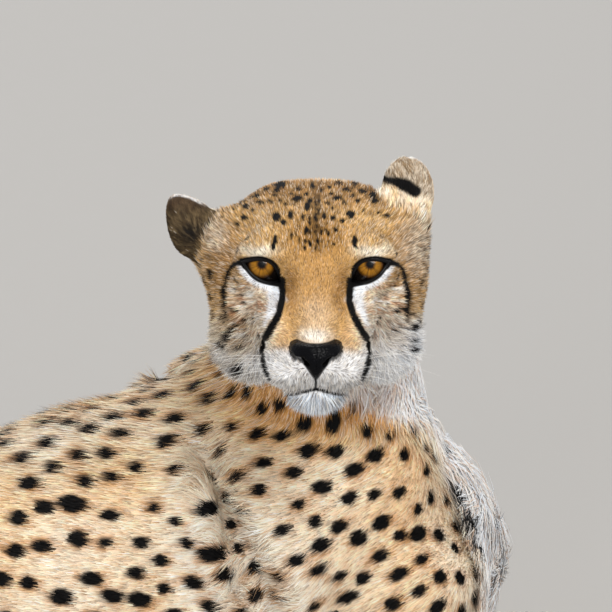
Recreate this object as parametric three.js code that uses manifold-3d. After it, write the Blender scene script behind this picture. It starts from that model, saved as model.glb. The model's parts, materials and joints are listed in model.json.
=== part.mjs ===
// A life-size cheetah lying on its chest, forelegs stretched out, hind legs folded, its head raised and
// turned back over the right shoulder. Millimetres. +X is where the body points, +Y its left side, +Z up.
// The soft outline, out to the tips of the coat, is one distance field built from eggs and tapered chains.
// It is meshed piece by piece and parted with thin cuts into head, neck, trunk, limbs and feet.

import * as THREE from "three";
import { mergeVertices } from "three/addons/utils/BufferGeometryUtils.js";
import Module from "manifold-3d";

const wasm = await Module();
wasm.setup();

// ---------------------------------------------------------------- driving dimensions

const GAP = 0.4; // the thin cut between neighbouring pieces
const SHORTEST = 0.35; // edges that a cut leaves shorter than this are closed up
const SEAT = 1.2; // how far ears and claws stand off the facets that they grow from
const WIDE = 260; // more than half the body's width, for regions that take in all of one side
const SIDES = { right: -1, left: 1 };

// Trunk sections from rump to chest: along X, middle height, half height, half width.
const TRUNK = [
  [-345, 152, 110, 84],
  [-240, 163, 110, 76],
  [-140, 158, 122, 84],
  [-40, 142, 139, 99],
  [60, 147, 149, 103],
  [150, 151, 152, 97],
  [240, 162, 88, 76],
];
const RUMP_CAP = 100;
const CHEST_CAP = 95;
const WITHERS = [
  [70, 0, 253, 40],
  [140, 0, 264, 42],
  [192, 0, 284, 46],
];
const BREAST = { middle: [258, -8, 202], radii: [59, 58, 44] };
const BLADE = { middle: [185, 50, 235], radii: [90, 52, 72] }; // the muscle over each shoulder blade

// Each joint is a point and the limb's radius there, given for the left side.
const SCAPULA = [150, 48, 246, 32];
const SHOULDER = [248, 70, 182, 48];
const TRICEPS = [168, 74, 226, 36];
const ELBOW = [114, 98, 74, 42];
const FOREARM = [128, 104, 38, 40];
const CARPUS = [338, 110, 25, 27];
const KNUCKLES = [398, 112, 21, 26];
const LEFT_IN = { carpus: 16, knuckles: 28 }; // the left foreleg lies this much nearer the middle
const HIP = [-325, 58, 182, 80];
const KNEE = [-150, 108, 116, 56];
const SHIN = [-152, 116, 92, 44];
const HOCK = [-368, 128, 44, 25];
const INSTEP = [-200, 138, 23, 25];
const SOLE = [-150, 140, 20, 25];

const NECK = [
  [228, 0, 208, 66],
  [217, -3, 292, 60],
  [207, -17, 356, 56],
];

const TAIL = [
  [-415, 0, 168, 36],
  [-478, 6, 108, 31],
  [-545, 34, 48, 27],
  [-622, 88, 25, 26],
  [-672, 170, 24, 25.5],
  [-664, 262, 24, 25.5],
  [-596, 336, 24, 25.5],
  [-500, 366, 24, 25.5],
  [-440, 360, 24, 22],
  [-412, 352, 22, 10],
];
const TAIL_LENGTHS = 4;
const TAIL_RINGS = 6; // sections in each length

// Four toes to a foot, from the inner to the outer: sideways place, how far each reaches past the knuckles.
const TOES = [
  [-21, 34],
  [-7.5, 47],
  [8, 46],
  [21.5, 32],
];
const TOE_RADIUS = 14;
const CLAW = { length: 15, radius: 3 };

// The head has its own frame: x towards the nose, y to the animal's left, z up, from midway between the eyes.
const HEAD_AT = new THREE.Vector3(181, -104, 446);
const HEAD_TURN = THREE.MathUtils.degToRad(-105);
const HEAD_LIFT = THREE.MathUtils.degToRad(14);
const EYE = { apart: 33, radius: 15 };

// ---------------------------------------------------------------- distance fields

// A smooth union: within k of each other, two fields melt into one.
function melt(a, b, k) {
  const h = Math.max(k - Math.abs(a - b), 0) / k;
  return Math.min(a, b) - (h * h * k) / 4;
}

function egg([cx, cy, cz], [rx, ry, rz]) {
  return (x, y, z) => {
    const [dx, dy, dz] = [x - cx, y - cy, z - cz];
    const scaled = Math.hypot(dx / rx, dy / ry, dz / rz);
    const slope = Math.hypot(dx / rx ** 2, dy / ry ** 2, dz / rz ** 2);
    return scaled < 1e-6 ? -Math.min(rx, ry, rz) : (scaled * (scaled - 1)) / slope;
  };
}

// A run of balls joined by straight tapers. Each joint is x, y, z and radius.
function chain(joints) {
  return (x, y, z) => {
    let nearest = Infinity;
    for (let i = 0; i + 1 < joints.length; i++) {
      const [ax, ay, az, ar] = joints[i];
      const [bx, by, bz, br] = joints[i + 1];
      const [ux, uy, uz] = [bx - ax, by - ay, bz - az];
      const along = ((x - ax) * ux + (y - ay) * uy + (z - az) * uz) / (ux * ux + uy * uy + uz * uz);
      const t = Math.min(1, Math.max(0, along));
      const gone = Math.hypot(x - ax - t * ux, y - ay - t * uy, z - az - t * uz);
      nearest = Math.min(nearest, gone - (ar + t * (br - ar)));
    }
    return nearest;
  };
}

// Elliptical sections along X, eased from one to the next, with rounded caps at both ends.
function loft(sections, firstCap, lastCap) {
  const first = sections[0][0];
  const last = sections[sections.length - 1][0];
  return (x, y, z) => {
    const at = Math.min(last, Math.max(first, x));
    let i = 0;
    while (i + 2 < sections.length && at > sections[i + 1][0]) i++;
    const [a, b] = [sections[i], sections[i + 1]];
    const t = (at - a[0]) / (b[0] - a[0]);
    const ease = t * t * (3 - 2 * t);
    const [middle, tall, wide] = [1, 2, 3].map((k) => a[k] + ease * (b[k] - a[k]));
    const cap = x < first ? firstCap : lastCap;
    return egg([at, 0, middle], [cap, wide, tall])(x, y, z);
  };
}

// The head's frame as a matrix, and a field of head coordinates as one of body coordinates.
const headMatrix = new THREE.Matrix4()
  .makeRotationZ(HEAD_TURN)
  .multiply(new THREE.Matrix4().makeRotationY(-HEAD_LIFT))
  .setPosition(HEAD_AT);
const toHead = headMatrix.clone().invert().elements;

function inHead(field) {
  const m = toHead;
  return (x, y, z) =>
    field(
      m[0] * x + m[4] * y + m[8] * z + m[12],
      m[1] * x + m[5] * y + m[9] * z + m[13],
      m[2] * x + m[6] * y + m[10] * z + m[14],
    );
}

function mirrored([x, y, z, ...rest], side) {
  return [x, side * y, z, ...rest];
}

function inward([x, y, z, r], by, side) {
  return [x, side === SIDES.left ? y - by : y, z, r];
}

function union(parts) {
  return (x, y, z) => parts.reduce((d, [field, k]) => melt(d, field(x, y, z), k), 1e3);
}

// ---------------------------------------------------------------- the animal's own forms

// Field and melt distance of each form of the head, in head coordinates.
function headForms() {
  const forms = [
    [egg([-52, 0, -1.8], [60, 57, 41]), 1], // braincase
    [egg([-12, 0, 2], [40, 43, 30]), 16], // forehead
    [chain([[6, 0, -4, 17], [60, 0, -37, 13]]), 14], // bridge of the nose
    [egg([42, 0, -45], [31, 27, 18]), 10], // muzzle
    [chain([[46, 0, -65, 11], [-40, 0, -56, 22]]), 10], // lower jaw
    [egg([47, 0, -65], [19, 20, 12]), 8], // chin
    [chain([[-80, 0, -26, 50], [-92, 0, -60, 46]]), 18], // nape, where the neck begins
  ];
  for (const side of Object.values(SIDES)) {
    const at = (x, y, z) => [x, side * y, z];
    forms.push(
      [egg(at(-34, side > 0 ? 42 : 40, -22), [38, 28, 34]), 16], // cheek
      [egg(at(-38, 35, -56), [36, 32.5, 30]), 16], // jaw muscle and ruff
      [egg(at(18, 21, -25), [30, 17, 21]), 12], // upper jaw below the eye
      [egg(at(2, 27, 12), [16, 18, 8]), 10], // brow
      [egg(at(50, 17, -48), [23, 18, 14]), 8], // whisker pad
      [egg(at(-1, EYE.apart, 0), [17, 17, 16]), 6], // lids over the eyeball
      [egg(side > 0 ? [-60, 54, 10] : [-60, -57, -5], [20, 20, 23]), 14], // root of the ear
      [egg(at(-46, 46, -5), [34, 24, 28]), 14], // temple
      [egg(at(-50, 22, 10.2), [38, 24, 26]), 12], // crown, beside the middle
    );
  }
  return forms;
}

function footForms(knuckles, side) {
  const [x, y, z] = knuckles;
  return TOES.map(([across, reach]) => [
    chain([
      [x - 4, side * (y + across * 0.8), z - 1, TOE_RADIUS],
      [x + reach, side * (y + across), TOE_RADIUS - 1.5, TOE_RADIUS - 0.5],
    ]),
    5,
  ]);
}

function limbForms(side) {
  const run = (...joints) => chain(joints.map((j) => mirrored(j, side)));
  return [
    [run(SCAPULA, SHOULDER), 44],
    [egg(mirrored([...BLADE.middle, 0], side).slice(0, 3), BLADE.radii), 30],
    [run(TRICEPS, ELBOW), 30],
    [run(SHOULDER, ELBOW), 26],
    [run(FOREARM, inward(CARPUS, LEFT_IN.carpus, side), inward(KNUCKLES, LEFT_IN.knuckles, side)), 16],
    [run(HIP, KNEE), 40],
    [run(SHIN, HOCK), 18],
    [run(HOCK, INSTEP, SOLE), 8],
    ...footForms(inward(KNUCKLES, LEFT_IN.knuckles, side), side),
    ...footForms(SOLE, side),
  ];
}

const flesh = union([
  [loft(TRUNK, RUMP_CAP, CHEST_CAP), 1],
  ...limbForms(SIDES.right),
  ...limbForms(SIDES.left),
  [chain(WITHERS), 30],
  [egg(BREAST.middle, BREAST.radii), 24],
  [chain(NECK), 46],
  [inHead(union(headForms())), 34],
  [chain(TAIL.slice(0, 2)), 30],
]);

// ---------------------------------------------------------------- meshing

// Surface nets: one vertex in each cell that the surface crosses, drawn onto the surface, one quad for each
// crossed edge of the grid. grow moves the surface outwards.
function netOf(field, low, high, cell, grow = 0) {
  const count = low.map((l, i) => Math.ceil((high[i] - l) / cell[i]) + 1);
  const at = (i, j, k) => i + count[0] * (j + count[1] * k);
  const place = (axis, n) => low[axis] + n * cell[axis];
  const value = new Float32Array(count[0] * count[1] * count[2]);
  for (let k = 0; k < count[2]; k++)
    for (let j = 0; j < count[1]; j++)
      for (let i = 0; i < count[0]; i++) {
        const rim = [i, j, k].some((n, axis) => n === 0 || n === count[axis] - 1);
        const d = field(place(0, i), place(1, j), place(2, k)) - grow;
        value[at(i, j, k)] = rim ? Math.max(d, 0.01) : d || 1e-4;
      }
  const positions = [];
  const vertexOf = new Map();
  const corners = [0, 1, 2, 3, 4, 5, 6, 7].map((n) => [n & 1, (n >> 1) & 1, (n >> 2) & 1]);
  const edges = [];
  corners.forEach((a, m) =>
    [1, 2, 4].forEach((bit) => {
      if (!(m & bit)) edges.push([a, corners[m | bit]]);
    }),
  );
  const draw = (p) => {
    for (let step = 0; step < 3; step++) {
      const h = 0.5;
      const d = field(...p) - grow;
      const slope = [0, 1, 2].map((axis) => {
        const q = [...p];
        q[axis] += h;
        return (field(...q) - grow - d) / h;
      });
      const size = slope[0] ** 2 + slope[1] ** 2 + slope[2] ** 2;
      for (let axis = 0; axis < 3; axis++) p[axis] -= (d * slope[axis]) / Math.max(size, 0.25);
    }
    return p;
  };
  for (let k = 0; k + 1 < count[2]; k++)
    for (let j = 0; j + 1 < count[1]; j++)
      for (let i = 0; i + 1 < count[0]; i++) {
        const sum = [0, 0, 0];
        let crossings = 0;
        for (const [a, b] of edges) {
          const va = value[at(i + a[0], j + a[1], k + a[2])];
          const vb = value[at(i + b[0], j + b[1], k + b[2])];
          if (va < 0 === vb < 0) continue;
          const t = va / (va - vb);
          for (let axis = 0; axis < 3; axis++)
            sum[axis] += place(axis, [i, j, k][axis] + a[axis] + t * (b[axis] - a[axis]));
          crossings++;
        }
        if (!crossings) continue;
        vertexOf.set(at(i, j, k), positions.length / 3);
        const rough = sum.map((s) => s / crossings);
        const fine = draw([...rough]);
        const kept = fine.map((f, axis) => {
          const reach = 0.45 * cell[axis];
          return Math.min(rough[axis] + reach, Math.max(rough[axis] - reach, f));
        });
        positions.push(...kept);
      }
  const index = [];
  const across = [
    [1, 2],
    [2, 0],
    [0, 1],
  ];
  for (let k = 0; k + 1 < count[2]; k++)
    for (let j = 0; j + 1 < count[1]; j++)
      for (let i = 0; i + 1 < count[0]; i++)
        for (let axis = 0; axis < 3; axis++) {
          const end = [i, j, k];
          end[axis]++;
          const inside = value[at(i, j, k)] < 0;
          if (inside === value[at(...end)] < 0) continue;
          const [u, v] = across[axis];
          const quad = [[0, 0], [1, 0], [1, 1], [0, 1]].map(([a, b]) => {
            const c = [i, j, k];
            c[u] -= a;
            c[v] -= b;
            return vertexOf.get(at(...c));
          });
          if (!inside) quad.reverse();
          index.push(quad[0], quad[1], quad[2], quad[0], quad[2], quad[3]);
        }
  return new THREE.BufferGeometry()
    .setAttribute("position", new THREE.Float32BufferAttribute(positions, 3))
    .setIndex(index);
}

function solidOf(geometry) {
  const bare = geometry.clone();
  for (const name of Object.keys(bare.attributes)) if (name !== "position") bare.deleteAttribute(name);
  const merged = mergeVertices(bare, 1e-4);
  return new wasm.Manifold(
    new wasm.Mesh({
      numProp: 3,
      vertProperties: merged.attributes.position.array,
      triVerts: new Uint32Array(merged.index.array),
    }),
  );
}

function geometryOf(solid) {
  const mesh = solid.getMesh();
  const positions = new Float32Array(mesh.numVert * 3);
  for (let i = 0; i < mesh.numVert; i++)
    positions.set(mesh.vertProperties.subarray(i * mesh.numProp, i * mesh.numProp + 3), i * 3);
  return new THREE.BufferGeometry()
    .setAttribute("position", new THREE.BufferAttribute(positions, 3))
    .setIndex(new THREE.BufferAttribute(mesh.triVerts, 1));
}

// Draws the two ends of each short edge together, wherever the surface stays one closed sheet.
function closeShortEdges(geometry) {
  const position = geometry.attributes.position;
  const point = Array.from({ length: position.count }, (_, i) =>
    new THREE.Vector3().fromBufferAttribute(position, i),
  );
  const index = geometry.index.array;
  const faces = [];
  const around = point.map(() => new Set());
  for (let i = 0; i < index.length; i += 3) {
    faces.push([index[i], index[i + 1], index[i + 2]]);
    for (const v of faces[faces.length - 1]) around[v].add(faces.length - 1);
  }
  const neighbours = (v) => new Set([...around[v]].flatMap((f) => faces[f]).filter((n) => n !== v));
  const closeAt = (a) => {
    for (const b of neighbours(a)) {
      if (point[a].distanceTo(point[b]) > SHORTEST) continue;
      const other = neighbours(b);
      if ([...neighbours(a)].filter((n) => other.has(n)).length !== 2) continue;
      point[a].lerp(point[b], 0.5);
      for (const f of [...around[b]]) {
        if (faces[f].includes(a)) {
          for (const v of faces[f]) around[v].delete(f);
          faces[f] = null;
        } else {
          faces[f] = faces[f].map((v) => (v === b ? a : v));
          around[a].add(f);
        }
      }
      around[b].clear();
      return true;
    }
    return false;
  };
  for (let v = 0; v < point.length; v++) while (closeAt(v));
  return new THREE.BufferGeometry()
    .setFromPoints(point)
    .setIndex(faces.filter((face) => face).flat());
}

// The largest body of a geometry, without the crumbs that a cut may leave beside it.
function largestBody(geometry) {
  const index = geometry.index.array;
  const leader = Array.from({ length: geometry.attributes.position.count }, (_, i) => i);
  const find = (i) => {
    while (leader[i] !== i) i = leader[i] = leader[leader[i]];
    return i;
  };
  for (let i = 0; i < index.length; i += 3) {
    leader[find(index[i])] = find(index[i + 1]);
    leader[find(index[i + 1])] = find(index[i + 2]);
  }
  const faces = new Map();
  for (let i = 0; i < index.length; i += 3) {
    const body = find(index[i]);
    if (!faces.has(body)) faces.set(body, []);
    faces.get(body).push(index[i], index[i + 1], index[i + 2]);
  }
  geometry.setIndex([...faces.values()].sort((a, b) => b.length - a.length)[0]);
  return geometry;
}

// ---------------------------------------------------------------- regions

const SIDE_VIEW = new THREE.Matrix4().makeBasis(
  new THREE.Vector3(1, 0, 0),
  new THREE.Vector3(0, 0, 1),
  new THREE.Vector3(0, -1, 0),
);

// A prism over an outline drawn in the side view, from near to far across the body. grow moves every wall
// outwards, which leaves the thin cut round the piece that fills the region.
function prism(outline, near, far, grow = 0, matrix = SIDE_VIEW) {
  const count = outline.length;
  const area = outline.reduce((sum, [x, z], i) => {
    const [nx, nz] = outline[(i + 1) % count];
    return sum + x * nz - nx * z;
  }, 0);
  const ring = (area > 0 ? outline : [...outline].reverse()).map((p) => new THREE.Vector2(...p));
  const moved = ring.map((p, i) => {
    const before = ring[(i + count - 1) % count];
    const after = ring[(i + 1) % count];
    const normals = [p.clone().sub(before), after.clone().sub(p)].map((e) =>
      new THREE.Vector2(e.y, -e.x).normalize(),
    );
    const middle = normals[0].clone().add(normals[1]).normalize();
    return p.clone().addScaledVector(middle, grow / middle.dot(normals[0]));
  });
  const depth = far - near + 2 * grow;
  const shape = new THREE.ExtrudeGeometry(new THREE.Shape(moved), { depth, bevelEnabled: false });
  shape.translate(0, 0, -(far + grow)).applyMatrix4(matrix);
  return solidOf(shape);
}

const HEAD_OUTLINE = [
  [-165, 82],
  [-44, -92],
  [120, -92],
  [120, 130],
  [-165, 130],
];
const NECK_OUTLINE = [
  [100, 355],
  [345, 204],
  [345, 560],
  [100, 560],
];
const FORELEG_OUTLINE = [
  [58, 0],
  [350, 0],
  [350, 100],
  [330, 190],
  [288, 234],
  [190, 294],
  [150, 314],
  [100, 298],
  [58, 120],
];
const FOREPAW_OUTLINE = [
  [350 + GAP, 0],
  [600, 0],
  [600, 90],
  [350 + GAP, 90],
];
const HINDLEG_OUTLINE = [
  [-448, 0],
  [-82, 0],
  [-82, 150],
  [-160, 212],
  [-300, 256],
  [-400, 232],
  [-448, 140],
];
const HINDFOOT_OUTLINE = [
  [-348, 0],
  [-40, 0],
  [-40, 47],
  [-348, 47],
];
const TAIL_OUTLINE = [
  [-900, -50],
  [-456, -50],
  [-438, 230],
  [-900, 230],
];
const LEG_INNER = 66; // how far from the middle plane the forelegs are parted from the trunk
const THIGH_INNER = 68;
const FOOT_INNER = 88;

const headRegion = (grow = 0) =>
  prism(HEAD_OUTLINE, -WIDE, WIDE, grow, headMatrix.clone().multiply(SIDE_VIEW));

// A region on one side of the body, from inner outwards.
function sideRegion(outline, inner, side, grow = 0) {
  return side > 0 ? prism(outline, inner, WIDE, grow) : prism(outline, -WIDE, -inner, grow);
}

function subtractAll(solid, others) {
  return others.reduce((left, other) => left.subtract(other), solid);
}

// ---------------------------------------------------------------- materials

const finish = (color, roughness = 0.85) =>
  new THREE.MeshStandardMaterial({ color, roughness, metalness: 0 });
const coat = finish(0xc99a5b);
const paleCoat = finish(0xe3d8c2);
const noseLeather = finish(0x120f10, 0.45);
const eyeball = finish(0xa8671a, 0.08);
const claw = finish(0x2a211b, 0.4);

const cheetah = new THREE.Group();

function addPiece(name, solid, material) {
  const mesh = new THREE.Mesh(largestBody(closeShortEdges(geometryOf(solid))), material);
  mesh.name = name;
  cheetah.add(mesh);
}

// ---------------------------------------------------------------- head

const HEAD_CELL = [12.2, 11.7, 11.2];

function headMesh(grow = 0) {
  return solidOf(netOf(flesh, [60, -213, 330], [290, 75, 510], HEAD_CELL, grow));
}

// An outline in the head's front view, pushed out along its x axis.
function frontPrism(shape, from, to) {
  const matrix = headMatrix.clone().multiply(
    new THREE.Matrix4().makeBasis(
      new THREE.Vector3(0, 1, 0),
      new THREE.Vector3(0, 0, 1),
      new THREE.Vector3(1, 0, 0),
    ),
  );
  const geometry = new THREE.ExtrudeGeometry(shape, {
    depth: to - from,
    bevelEnabled: false,
    curveSegments: 4,
  });
  geometry.translate(0, 0, from).applyMatrix4(matrix);
  return solidOf(geometry);
}

// The opening between the lids: inner corner low at the nose, outer corner higher.
function lidOpening(side) {
  const [inner, outer] = [[21, -7], [45, 3.5]];
  const [upper, lower] = [[32, 19], [34, -15]]; // where the two lids' curves pull to
  const shape = new THREE.Shape();
  shape.moveTo(side * inner[0], inner[1]);
  shape.quadraticCurveTo(side * upper[0], upper[1], side * outer[0], outer[1]);
  shape.quadraticCurveTo(side * lower[0], lower[1], side * inner[0], inner[1]);
  return frontPrism(shape, 0, 45);
}

// The bare nose: broad on top, drawn to a point at the lip.
const NOSE = { top: -29, wing: -35, tip: -50, halfWidth: 16.5 };
function noseOutline(grow) {
  const half = NOSE.halfWidth + grow;
  const shape = new THREE.Shape();
  shape.moveTo(0, NOSE.tip - 2 * grow);
  for (const side of [1, -1]) {
    const bend = [side * (half * 0.45 + grow), NOSE.tip + 6 - grow];
    const wing = [side * half, NOSE.wing];
    const corner = [side * (half + 1), NOSE.top - 1];
    const top = [side * half * 0.8, NOSE.top + grow];
    if (side > 0) {
      shape.quadraticCurveTo(...bend, ...wing);
      shape.quadraticCurveTo(...corner, ...top);
    } else {
      shape.lineTo(...top);
      shape.quadraticCurveTo(...corner, ...wing);
      shape.quadraticCurveTo(...bend, 0, NOSE.tip - 2 * grow);
    }
  }
  return shape;
}

function ballAt(centre, radius, segments) {
  const ball = new THREE.SphereGeometry(radius, segments, segments / 2).rotateZ(Math.PI / 2);
  ball.translate(...centre).applyMatrix4(headMatrix);
  return solidOf(ball);
}

function addHead() {
  const whole = headMesh().intersect(headRegion());
  const eyes = Object.entries(SIDES).map(([name, side]) => {
    const centre = [0, side * EYE.apart, 0];
    addPiece("eye_" + name, ballAt(centre, EYE.radius, 12), eyeball);
    return ballAt(centre, EYE.radius + GAP, 12).add(lidOpening(side));
  });
  const nose = headMesh(1).intersect(frontPrism(noseOutline(0), 60, 100));
  addPiece("nose", nose, noseLeather);
  const noseBed = frontPrism(noseOutline(GAP), 60 - GAP, 100);
  addPiece("head", subtractAll(whole, [...eyes, noseBed]), coat);
}

// Each ear is a cupped shell whose hollow faces back: where it grows from, the way it points and the way its
// convex back looks, in head coordinates.
const EARS = {
  left: { middle: [-60, 56.5, 31.5], points: [-0.3, 0.02, 0.95], back: [0.85, 0.42, 0.2], width: 18, taper: 0.06 },
  right: { middle: [-60, -76.6, 10.3], points: [-0.37, -0.57, 0.75], back: [0.9, -0.3, 0.2], width: 16.5, taper: 0.35 },
};
const EAR = { length: 22, depth: 12, wall: 4.6 };

// An ellipsoid that grows narrower towards the tip of the ear.
function ellipsoidAt(matrix, centre, radii, taper) {
  const shape = new THREE.SphereGeometry(1, 12, 7).scale(...radii).translate(...centre);
  const places = shape.getAttribute("position");
  for (let i = 0; i < places.count; i++) {
    places.setY(i, places.getY(i) * (1 - (taper * places.getX(i)) / EAR.length));
  }
  return solidOf(shape.applyMatrix4(matrix));
}

function addEars() {
  const headOutside = headMesh(SEAT);
  for (const [name, { middle, points, back, width, taper }] of Object.entries(EARS)) {
    const axis = new THREE.Vector3(...points).normalize();
    const across = new THREE.Vector3(...back).cross(axis).normalize();
    const facing = axis.clone().cross(across).normalize();
    const matrix = headMatrix
      .clone()
      .multiply(new THREE.Matrix4().makeBasis(axis, across, facing).setPosition(...middle));
    const { length, depth, wall } = EAR;
    const outer = ellipsoidAt(matrix, [0, 0, 0], [length, width, depth], taper);
    const hollow = ellipsoidAt(matrix, [0, 0, -wall * 1.6], [length - wall, width - wall, depth], taper);
    addPiece("ear_" + name, subtractAll(outer, [hollow, headOutside]), coat);
  }
}

// ---------------------------------------------------------------- body

const TRUNK_LOW = [-480, -140, -12];
const TRUNK_HIGH = [350, 140, 345];
const TRUNK_CELL = [44, 31, 31];
const ABOVE_FLOOR = [
  [-900, 0],
  [700, 0],
  [700, 700],
  [-900, 700],
];

function addNeck() {
  const whole = solidOf(netOf(flesh, [90, -130, 180], [340, 120, 470], [21, 20, 21]));
  const region = prism(NECK_OUTLINE, -WIDE, WIDE);
  addPiece("neck", whole.intersect(region).subtract(headRegion(GAP)), coat);
}

function addTrunk() {
  const cuts = [prism(NECK_OUTLINE, -WIDE, WIDE, GAP), prism(TAIL_OUTLINE, -WIDE, WIDE, GAP)];
  for (const side of Object.values(SIDES)) {
    cuts.push(sideRegion(FORELEG_OUTLINE, LEG_INNER, side, GAP));
    cuts.push(sideRegion(HINDLEG_OUTLINE, THIGH_INNER, side, GAP));
    cuts.push(sideRegion(HINDFOOT_OUTLINE, FOOT_INNER, side, GAP));
  }
  const whole = solidOf(netOf(flesh, TRUNK_LOW, TRUNK_HIGH, TRUNK_CELL));
  addPiece("trunk", subtractAll(whole.intersect(prism(ABOVE_FLOOR, -WIDE, WIDE)), cuts), coat);
}

// The flesh in a box on one side of the body, meshed with its own cell.
function limbMesh({ low, high, cell }, side, grow = 0) {
  const near = side > 0 ? low[1] : -high[1];
  const far = side > 0 ? high[1] : -low[1];
  return solidOf(netOf(flesh, [low[0], near, low[2]], [high[0], far, high[2]], cell, grow));
}

// Boxes round the flesh of one limb piece and the size of its mesh, for the left side.
const FORELEG_MESH = { low: [40, 45, -12], high: [375, 165, 320], cell: [34, 20, 24] };
const FOREPAW_MESH = { low: [330, 40, -10], high: [475, 165, 70], cell: [16, 11.5, 12] };
const HINDLEG_MESH = { low: [-470, 45, -12], high: [-60, 185, 290], cell: [35, 21, 23] };
const HINDFOOT_MESH = { low: [-365, 80, -10], high: [-75, 185, 62], cell: [26, 12, 12.5] };

function addLimbs() {
  for (const [name, side] of Object.entries(SIDES)) {
    const foreleg = limbMesh(FORELEG_MESH, side).intersect(sideRegion(FORELEG_OUTLINE, LEG_INNER, side));
    addPiece("foreleg_" + name, foreleg, coat);
    const forepaw = limbMesh(FOREPAW_MESH, side).intersect(sideRegion(FOREPAW_OUTLINE, 2, side));
    addPiece("forepaw_" + name, forepaw, paleCoat);
    const foot = sideRegion(HINDFOOT_OUTLINE, FOOT_INNER, side, GAP);
    const legRegion = sideRegion(HINDLEG_OUTLINE, THIGH_INNER, side);
    const hindleg = limbMesh(HINDLEG_MESH, side).intersect(legRegion).subtract(foot);
    addPiece("hindleg_" + name, hindleg, coat);
    const hindfoot = limbMesh(HINDFOOT_MESH, side).intersect(sideRegion(HINDFOOT_OUTLINE, FOOT_INNER, side));
    addPiece("hindfoot_" + name, hindfoot, paleCoat);
    const knuckles = inward(KNUCKLES, LEFT_IN.knuckles, side);
    addClaws("front_" + name, knuckles, limbMesh(FOREPAW_MESH, side, SEAT), side);
    addClaws("hind_" + name, SOLE, limbMesh(HINDFOOT_MESH, side, SEAT), side);
  }
}

// A bent, tapering horn out of the tip of each toe, its point just clear of the floor.
function addClaws(name, [x, y], foot, side) {
  TOES.forEach(([across, reach], toe) => {
    const tip = x + reach + TOE_RADIUS;
    const place = side * (y + across);
    const joints = [
      [tip - 4, place, 16, CLAW.radius],
      [tip + CLAW.length * 0.35, place, 14, CLAW.radius * 0.8],
      [tip + CLAW.length * 0.7, place, 7, 0.6],
    ];
    addPiece(`claw_${name}_${toe + 1}`, solidOf(taperedTube(joints, 4, 3)).subtract(foot), claw);
  });
}

// A closed tube of round sections on a smooth curve through the joints.
function taperedTube(joints, sides, rings, from = 0, to = 1) {
  const curve = new THREE.CatmullRomCurve3(joints.map(([x, y, z]) => new THREE.Vector3(x, y, z)));
  const radiusAt = (t) => {
    const along = t * (joints.length - 1);
    const i = Math.min(joints.length - 2, Math.floor(along));
    return THREE.MathUtils.lerp(joints[i][3], joints[i + 1][3], along - i);
  };
  const up = new THREE.Vector3(0, 0, 1);
  const positions = [];
  for (let ring = 0; ring <= rings; ring++) {
    const t = from + ((to - from) * ring) / rings;
    const centre = curve.getPoint(t);
    const ahead = curve.getTangent(t);
    const across = ahead.clone().cross(up).normalize();
    const over = across.clone().cross(ahead).normalize();
    for (let s = 0; s < sides; s++) {
      const turn = (2 * Math.PI * s) / sides;
      const p = centre
        .clone()
        .addScaledVector(across, radiusAt(t) * Math.cos(turn))
        .addScaledVector(over, radiusAt(t) * Math.sin(turn));
      positions.push(...p.toArray());
    }
  }
  const [start, end] = [from, to].map((t) => curve.getPoint(t).toArray());
  positions.push(...start, ...end);
  const startAt = (rings + 1) * sides;
  const index = [];
  for (let s = 0; s < sides; s++) {
    const next = (s + 1) % sides;
    for (let ring = 0; ring < rings; ring++) {
      const [a, b] = [ring * sides + s, ring * sides + next];
      index.push(a, a + sides, b, b, a + sides, b + sides);
    }
    index.push(startAt, s, next);
    index.push(startAt + 1, rings * sides + next, rings * sides + s);
  }
  return new THREE.BufferGeometry()
    .setAttribute("position", new THREE.Float32BufferAttribute(positions, 3))
    .setIndex(index);
}

function addTail() {
  const ground = prism(ABOVE_FLOOR, -WIDE, 2 * WIDE);
  const root = prism(TAIL_OUTLINE, -WIDE, 2 * WIDE);
  const cut = GAP / 900; // the share of the tail's length that a cut takes
  for (let i = 0; i < TAIL_LENGTHS; i++) {
    const from = i / TAIL_LENGTHS + (i ? cut : 0);
    const to = (i + 1) / TAIL_LENGTHS;
    const tube = solidOf(taperedTube(TAIL, 12, TAIL_RINGS, from, to));
    const material = i === TAIL_LENGTHS - 1 ? paleCoat : coat;
    addPiece("tail_" + (i + 1), tube.intersect(ground).intersect(root), material);
  }
}

addHead();
addEars();
addNeck();
addTrunk();
addLimbs();
addTail();

// The origin is under the middle of the whole animal, on the floor.
const box = new THREE.Box3().setFromObject(cheetah);
const middle = box.getCenter(new THREE.Vector3());
cheetah.position.set(-middle.x, -middle.y, -box.min.z);

export default cheetah;
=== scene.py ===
# %% [markdown]
# # A cheetah that lies down and looks back over its shoulder
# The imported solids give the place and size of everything, out to the tips of the coat. This lesson dresses
# them: one smooth skin inside the solids, eyes, nose, lids, claws and whiskers as pieces of their own, and
# a coat of some three hundred thousand tufts that follow the lie of the hair.

# %% The frame, and the tools of the lesson
import json
import math
import bmesh
import bpy
import numpy as np
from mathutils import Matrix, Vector
from mathutils.bvhtree import BVHTree
from mathutils.kdtree import KDTree

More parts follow.
